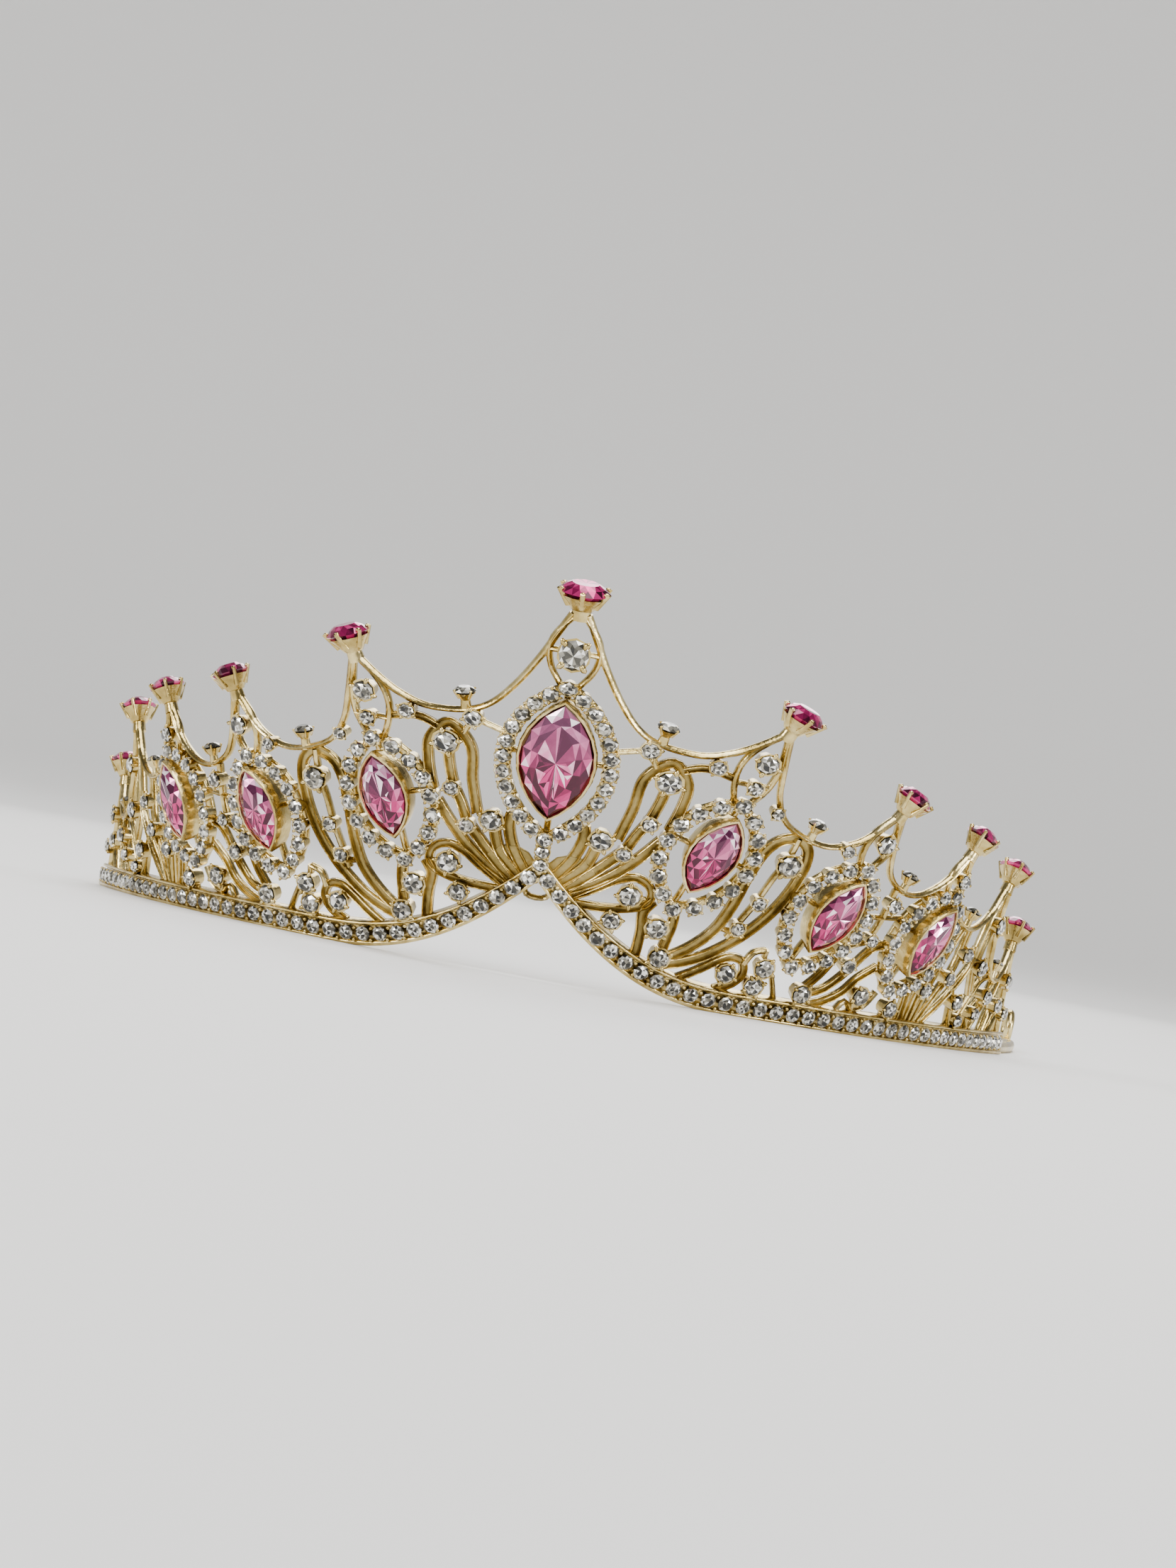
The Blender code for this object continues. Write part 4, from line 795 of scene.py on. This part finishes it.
for group, ending in both_sides(GROUPS):
    gem, table = oval_block(group, GEM_IN, GEM_BACK, GEM_GIRDLE, GEM_STEPS)
    in_turn(gem)
    kites = step_in(gem, table, group["width"] * KITES[0], KITES[1])
    bmesh.ops.poke(gem, faces=kites, offset=KITE_POINT, center_mode="MEAN")
    stars = step_in(gem, table, group["width"] * STARS[0], STARS[1])
    bmesh.ops.triangulate(gem, faces=stars)
    rays = bmesh.ops.poke(gem, faces=[table], offset=TABLE_POINT, center_mode="MEAN")["faces"]
    lower = [f for f in rays if height_on(group, f) < SHARDS_BELOW]
    shards = bmesh.ops.poke(gem, faces=lower, offset=SHARD_POINTS[0], center_mode="MEAN")["faces"]
    bmesh.ops.poke(gem, faces=shards[::2], offset=SHARD_POINTS[1], center_mode="MEAN")
    # Painted light: the tone climbs a little towards the top of the stone and the paler ramp is mixed in
    # higher up; the random part gives painted glints.
    tones(gem, 20 + round(group["s"]),
          lambda face, chance: (MIDDLE_TONE + TONE_CLIMB * height_on(group, face)
                                + TONE_RANGE * (chance.random() - 0.5)),
          lambda face: MIDDLE_RISE + RISE_CLIMB * height_on(group, face))
    laid("navette_" + ending + "_cut", gem, pink, False, "navette_" + ending)

# The standing stones: a round pink stone on each spike and a small clear one on each swag. They
# look outwards along the spike, in a claw cup that grows out of its tip.
SPIKES = [
    dict(name="0", s=0.0, h=47.0, tilt=0),
    dict(name="1", s=22.3, h=36.8, tilt=20),
    dict(name="2", s=39.4, h=29.0, tilt=22),
    dict(name="3", s=54.7, h=25.6, tilt=23),
    dict(name="4", s=69.5, h=22.2, tilt=22),
    dict(name="5", s=81.6, h=14.6, tilt=18),
]
BUDS = [
    dict(name="0", s=10.0, h=33.4, tilt=8),
    dict(name="1", s=28.9, h=24.6, tilt=10),
    dict(name="2", s=44.5, h=20.0, tilt=12),
    dict(name="3", s=60.3, h=16.7, tilt=12),
    dict(name="4", s=74.6, h=10.4, tilt=12),
]
STANDING = (
    (SPIKES, "tip_stone_", 2.5, 16, 6, pink),
    (BUDS, "bud_stone_", 1.25, 10, 4, clear),
)
STANDING_LEVEL = -0.65
STANDING_SHADE = 0.78
STANDING_LIFT = 0.6
ROOT_FOOT = 0.30
ROOT_TOP = 0.15
ROOT_LENGTH = 1.6
ROOT_DOWN = 0.55
CLAW_TURN = 0.50
# From here on, shares of the stone's radius.
CLEARANCE = 0.97
GIRDLE = 0.98
CROWN = 0.42
BELLY = 0.62
SEAT_FOOT = 0.42
SEAT_MOUTH = 0.90
SEAT_DEPTH = 0.72
SEAT_DOWN = 0.55
ROOT_FOOT_GROWTH = 0.26
ROOT_TOP_GROWTH = 0.28
ROOT_DOWN_GROWTH = 0.88
CLAW_FOOT = 0.13
CLAW_TOP = 0.09
CLAW_LENGTH = 0.95
CLAW_OUT = 0.80
CLAW_DOWN = 0.26
BALL_RADIUS = 0.11
BALL_OUT = 0.93
BALL_UP = 0.12
TABLE = 0.50


def stand(bm, made, spot, lift):
    """Stands a stone or cup on its foot, with its z along the leaning axis."""
    tilt = math.radians(spot["tilt"])
    turned = Matrix(((math.cos(tilt), 0, math.sin(tilt)),
                     (-math.sin(tilt), 0, math.cos(tilt)),
                     (0, -1, 0)))
    bmesh.ops.rotate(made, cent=(0, 0, 0), matrix=turned, verts=made.verts)
    bmesh.ops.translate(made, vec=(*on_axis(spot, 0, lift), STANDING_LEVEL), verts=made.verts)
    take(bm, made)


def cone(segments, low, high, depth):
    """A closed cone or post about the origin, along z."""
    made = bmesh.new()
    bmesh.ops.create_cone(made, cap_ends=True, segments=segments, radius1=low, radius2=high, depth=depth)
    return made


def claw_cup(size, prongs):
    """A round seat on a short root, with claws that lean out and end in a ball over the stone."""
    seat = cone(16, size * SEAT_FOOT, size * SEAT_MOUTH, size * SEAT_DEPTH)
    bmesh.ops.translate(seat, vec=(0, 0, -size * SEAT_DOWN), verts=seat.verts)
    root = cone(12, ROOT_FOOT + size * ROOT_FOOT_GROWTH, ROOT_TOP + size * ROOT_TOP_GROWTH, ROOT_LENGTH)
    bmesh.ops.translate(root, vec=(0, 0, -size * ROOT_DOWN_GROWTH - ROOT_DOWN), verts=root.verts)
    take(seat, root)
    for number in range(prongs):
        turn = 2 * math.pi * (number + 0.5) / prongs
        claw = cone(8, size * CLAW_FOOT, size * CLAW_TOP, size * CLAW_LENGTH)
        bmesh.ops.rotate(claw, cent=(0, 0, 0), matrix=Matrix.Rotation(CLAW_TURN, 3, "Y"), verts=claw.verts)
        bmesh.ops.translate(claw, vec=(size * CLAW_OUT, 0, -size * CLAW_DOWN), verts=claw.verts)
        ball = bmesh.new()
        bmesh.ops.create_icosphere(ball, subdivisions=2, radius=size * BALL_RADIUS)
        bmesh.ops.translate(ball, vec=(size * BALL_OUT, 0, size * BALL_UP), verts=ball.verts)
        take(claw, ball)
        bmesh.ops.rotate(claw, cent=(0, 0, 0), matrix=Matrix.Rotation(turn, 3, "Z"), verts=claw.verts)
        take(seat, claw)
    return seat


claws = bmesh.new()
for spots, label, size, sides, prongs, finish in STANDING:
    lift = STANDING_LIFT + size * CLEARANCE
    for spot, ending in both_sides(spots):
        gem = bmesh.new()
        stand(gem, spun_stone(size * GIRDLE, sides, size * CROWN, size * BELLY, TABLE), spot, lift)
        # The standing stones get the same painted reflections and glints, toned down a little.
        tones(gem, 40 + round(spot["s"] * 3), lambda face, chance: STANDING_SHADE * sparkle(face, chance))
        laid(label + ending + "_cut", gem, finish, False, label + ending)
        stand(claws, claw_cup(size, prongs), spot, lift)
laid("claw_cups", claws, gold, True, "cast_frame")

# The crystals among the wirework: round clear stones that face the front, the larger ones in cups
# of their own and the smaller ones on the wires, each with four prongs. An oval one sits in the
# frame of the middle spike, and two small ones stand in the column under the big navette.
CRYSTALS = [
    dict(name="arch", s=11.5, h=28.8, radius=1.3),
    dict(name="palmette", s=5.9, h=19.9, radius=1.2),
    dict(name="petal", s=10.3, h=13.5, radius=1.25),
    dict(name="post", s=14.2, h=9.9, radius=1.25),
    dict(name="post_foot", s=15.4, h=6.1, radius=1.2),
    dict(name="leaf", s=27.0, h=20.9, radius=1.35),
]
CRYSTAL_CUT = dict(sides=12, crown=0.55, belly=0.4, table=0.55)
CRYSTAL_CUP = 1.1
CRYSTAL_CUP_RISE = 1.9
CRYSTAL_LEVELS = (0.70, 0.95)
CHIPS = [
    (8.9, 32.3, 1.05), (10.6, 23.0, 0.95), (8.6, 18.6, 0.95), (8.9, 9.8, 1.2), (16.0, 31.7, 0.95),
    (20.9, 33.2, 1.3), (20.4, 29.9, 0.95), (23.6, 11.6, 0.95), (25.1, 15.3, 0.95), (24.0, 5.5, 1.3),
    (28.6, 7.0, 1.3), (28.0, 4.45, 1.3), (34.8, 4.45, 1.3), (39.9, 9.1, 1.05), (43.2, 17.9, 1.05),
    (38.4, 25.6, 1.3), (43.7, 5.4, 1.3), (49.5, 4.3, 1.2), (54.9, 7.4, 1.1), (59.2, 9.4, 1.05),
    (61.5, 12.9, 1.05), (54.0, 22.4, 1.1), (63.2, 6.4, 1.15), (66.9, 11.4, 1.2), (68.3, 17.3, 1.15),
    (71.9, 7.6, 1.15), (69.4, 5.2, 0.95), (77.2, 6.6, 1.1), (79.7, 10.0, 1.05), (81.6, 5.6, 1.0),
    (23.7, 27.2, 0.8), (33.6, 24.0, 0.9), (41.9, 12.9, 0.9), (64.9, 4.0, 0.9),
]
CHIP_CUT = dict(sides=10, crown=0.42, belly=0.3, table=0.55)
CHIP_SIZE = 0.93
CHIP_CUP_RISE = 1.7
CHIP_LEVELS = (0.55, 0.68)
COLUMN = [(0.0, 15.3, 0.85), (0.0, 17.05, 0.85)]
COLUMN_CUT = dict(sides=8, crown=0.42, belly=0.3, table=0.50)
COLUMN_LEVELS = (0.55, 0.66)
OVAL_CUP = 1.45
OVAL_CUT = dict(radius=1.42, sides=12, crown=0.5, belly=0.3, table=0.55)
OVAL_STRETCH = 1.35
OVAL_PLACE = (0.0, 42.4, 0.62)
cups = bmesh.new()
chips = bmesh.new()
for s, h, size in CHIPS:
    for side in (-1, 1):
        put(cups, cup(size, CHIP_CUP_RISE, 4), side * s, h, CHIP_LEVELS[0], s)
        put(chips, spun_stone(size * CHIP_SIZE, **CHIP_CUT), side * s, h, CHIP_LEVELS[1], s)
for s, h, size in COLUMN:
    put(cups, cup(size, CHIP_CUP_RISE, 4), s, h, COLUMN_LEVELS[0])
    put(chips, spun_stone(size, **COLUMN_CUT), s, h, COLUMN_LEVELS[1])
for made, target in ((cup(OVAL_CUP, CHIP_CUP_RISE, 4), cups), (spun_stone(**OVAL_CUT), chips)):
    bmesh.ops.scale(made, vec=(1.0, OVAL_STRETCH, 1.0), verts=made.verts)
    put(target, made, *OVAL_PLACE)
for crystal, ending in both_sides(CRYSTALS):
    s, h, size = crystal["s"], crystal["h"], crystal["radius"]
    put(cups, cup(size * CRYSTAL_CUP, CRYSTAL_CUP_RISE, 4), s, h, CRYSTAL_LEVELS[0], s)
    gem = bmesh.new()
    put(gem, spun_stone(size, **CRYSTAL_CUT), s, h, CRYSTAL_LEVELS[1])
    tones(gem, 60 + round(s * 3))
    laid("crystal_" + ending + "_cut", gem, clear, False, "crystal_" + ending)
tones(chips, 70)
laid("small_crystals", chips, clear, False, "cast_frame")
laid("crystal_cups", cups, gold, True, "cast_frame")

# The setting for the view: a pale floor that sweeps up all round, soft light from a window and
# from overhead, and three smaller soft lights, from the left, from the right and from behind.
FLOOR_RADIUS = 0.70
FLOOR_SIDES = 96
SWEEP_RADIUS = 1.30
SWEEP_STEPS = 14
ROOM_LIGHT = 0.18
WINDOW_LIGHT = 2.0
WINDOW_WIDTH = math.radians(40)
WINDOW_WAY = Vector((-0.1, 0.7, -0.7))
LIT = Vector((0, -0.02, 0.02))
LAMPS = (
    ("overhead", (0.05, -0.15, 0.70), 0.45, 5.0),
    ("left", (-0.60, -0.45, 0.30), 0.30, 4.5),
    ("right", (0.65, -0.35, 0.22), 0.25, 3.5),
    ("behind", (0.0, 0.55, 0.45), 0.40, 3.0),
)
sweep = bmesh.new()
bmesh.ops.create_circle(sweep, segments=FLOOR_SIDES, radius=FLOOR_RADIUS)
rim = sweep.edges[:]
bmesh.ops.contextual_create(sweep, geom=rim)
for number in range(SWEEP_STEPS):
    turn = math.pi / 2 * (number + 1) / SWEEP_STEPS
    grown = bmesh.ops.extrude_edge_only(sweep, edges=rim)["geom"]
    rim = [e for e in grown if isinstance(e, bmesh.types.BMEdge)]
    wide = FLOOR_RADIUS + SWEEP_RADIUS * math.sin(turn)
    for vert in [v for v in grown if isinstance(v, bmesh.types.BMVert)]:
        vert.co = Vector((vert.co.x, vert.co.y, 0)).normalized() * wide
        vert.co.z = SWEEP_RADIUS * (1 - math.cos(turn))
mesh = bpy.data.meshes.new("floor")
bmesh.ops.recalc_face_normals(sweep, faces=sweep.faces)
sweep.to_mesh(mesh)
sweep.free()
mesh.shade_smooth()
floor = bpy.data.objects.new("floor", mesh)
bpy.context.scene.collection.objects.link(floor)
paper = Finish("pale_floor", Base_Color=(0.80, 0.79, 0.77, 1.0), Roughness=0.75)
mesh.materials.append(paper.material)


def hung(light, way, place=(0, 0, 0)):
    """Hangs a light at its place, facing along way."""
    lamp = bpy.data.objects.new(light.name, light)
    lamp.location = place
    lamp.rotation_euler = way.to_track_quat("-Z", "Y").to_euler()
    bpy.context.scene.collection.objects.link(lamp)


world = bpy.data.worlds.new("studio")
bpy.context.scene.world = world
world.use_nodes = True
background = world.node_tree.nodes["Background"]
background.inputs["Color"].default_value = (0.92, 0.93, 0.95, 1.0)
background.inputs["Strength"].default_value = ROOM_LIGHT
window = bpy.data.lights.new("window", "SUN")
window.energy = WINDOW_LIGHT
window.angle = WINDOW_WIDTH
hung(window, WINDOW_WAY)
for name, place, size, power in LAMPS:
    light = bpy.data.lights.new(name, "AREA")
    light.size = size
    light.energy = power
    hung(light, LIT - Vector(place), place)

# The camera stands in front, just above the floor, a little to the right and rolled, with a long
# lens, so that the tiara is seen from below the level of its spikes.
CAMERA_TURN = math.radians(3.0)
CAMERA_RISE = math.radians(-1.5)
CAMERA_ROLL = math.radians(10.6)
CAMERA_REACH = 0.40
CAMERA_LENS = 73.2
CAMERA_NEAR = 0.01
AIM = Vector((0.003, -0.022, 0.025))
away = Vector((math.sin(CAMERA_TURN) * math.cos(CAMERA_RISE),
               -math.cos(CAMERA_TURN) * math.cos(CAMERA_RISE),
               math.sin(CAMERA_RISE)))
view = bpy.data.cameras.new("view")
view.lens = CAMERA_LENS
view.clip_start = CAMERA_NEAR
camera = bpy.data.objects.new("view", view)
camera.location = AIM + away * CAMERA_REACH
level = (-away).to_track_quat("-Z", "Y")
camera.rotation_euler = (level @ Matrix.Rotation(CAMERA_ROLL, 3, "Z").to_quaternion()).to_euler()
bpy.context.scene.collection.objects.link(camera)
bpy.context.scene.camera = camera
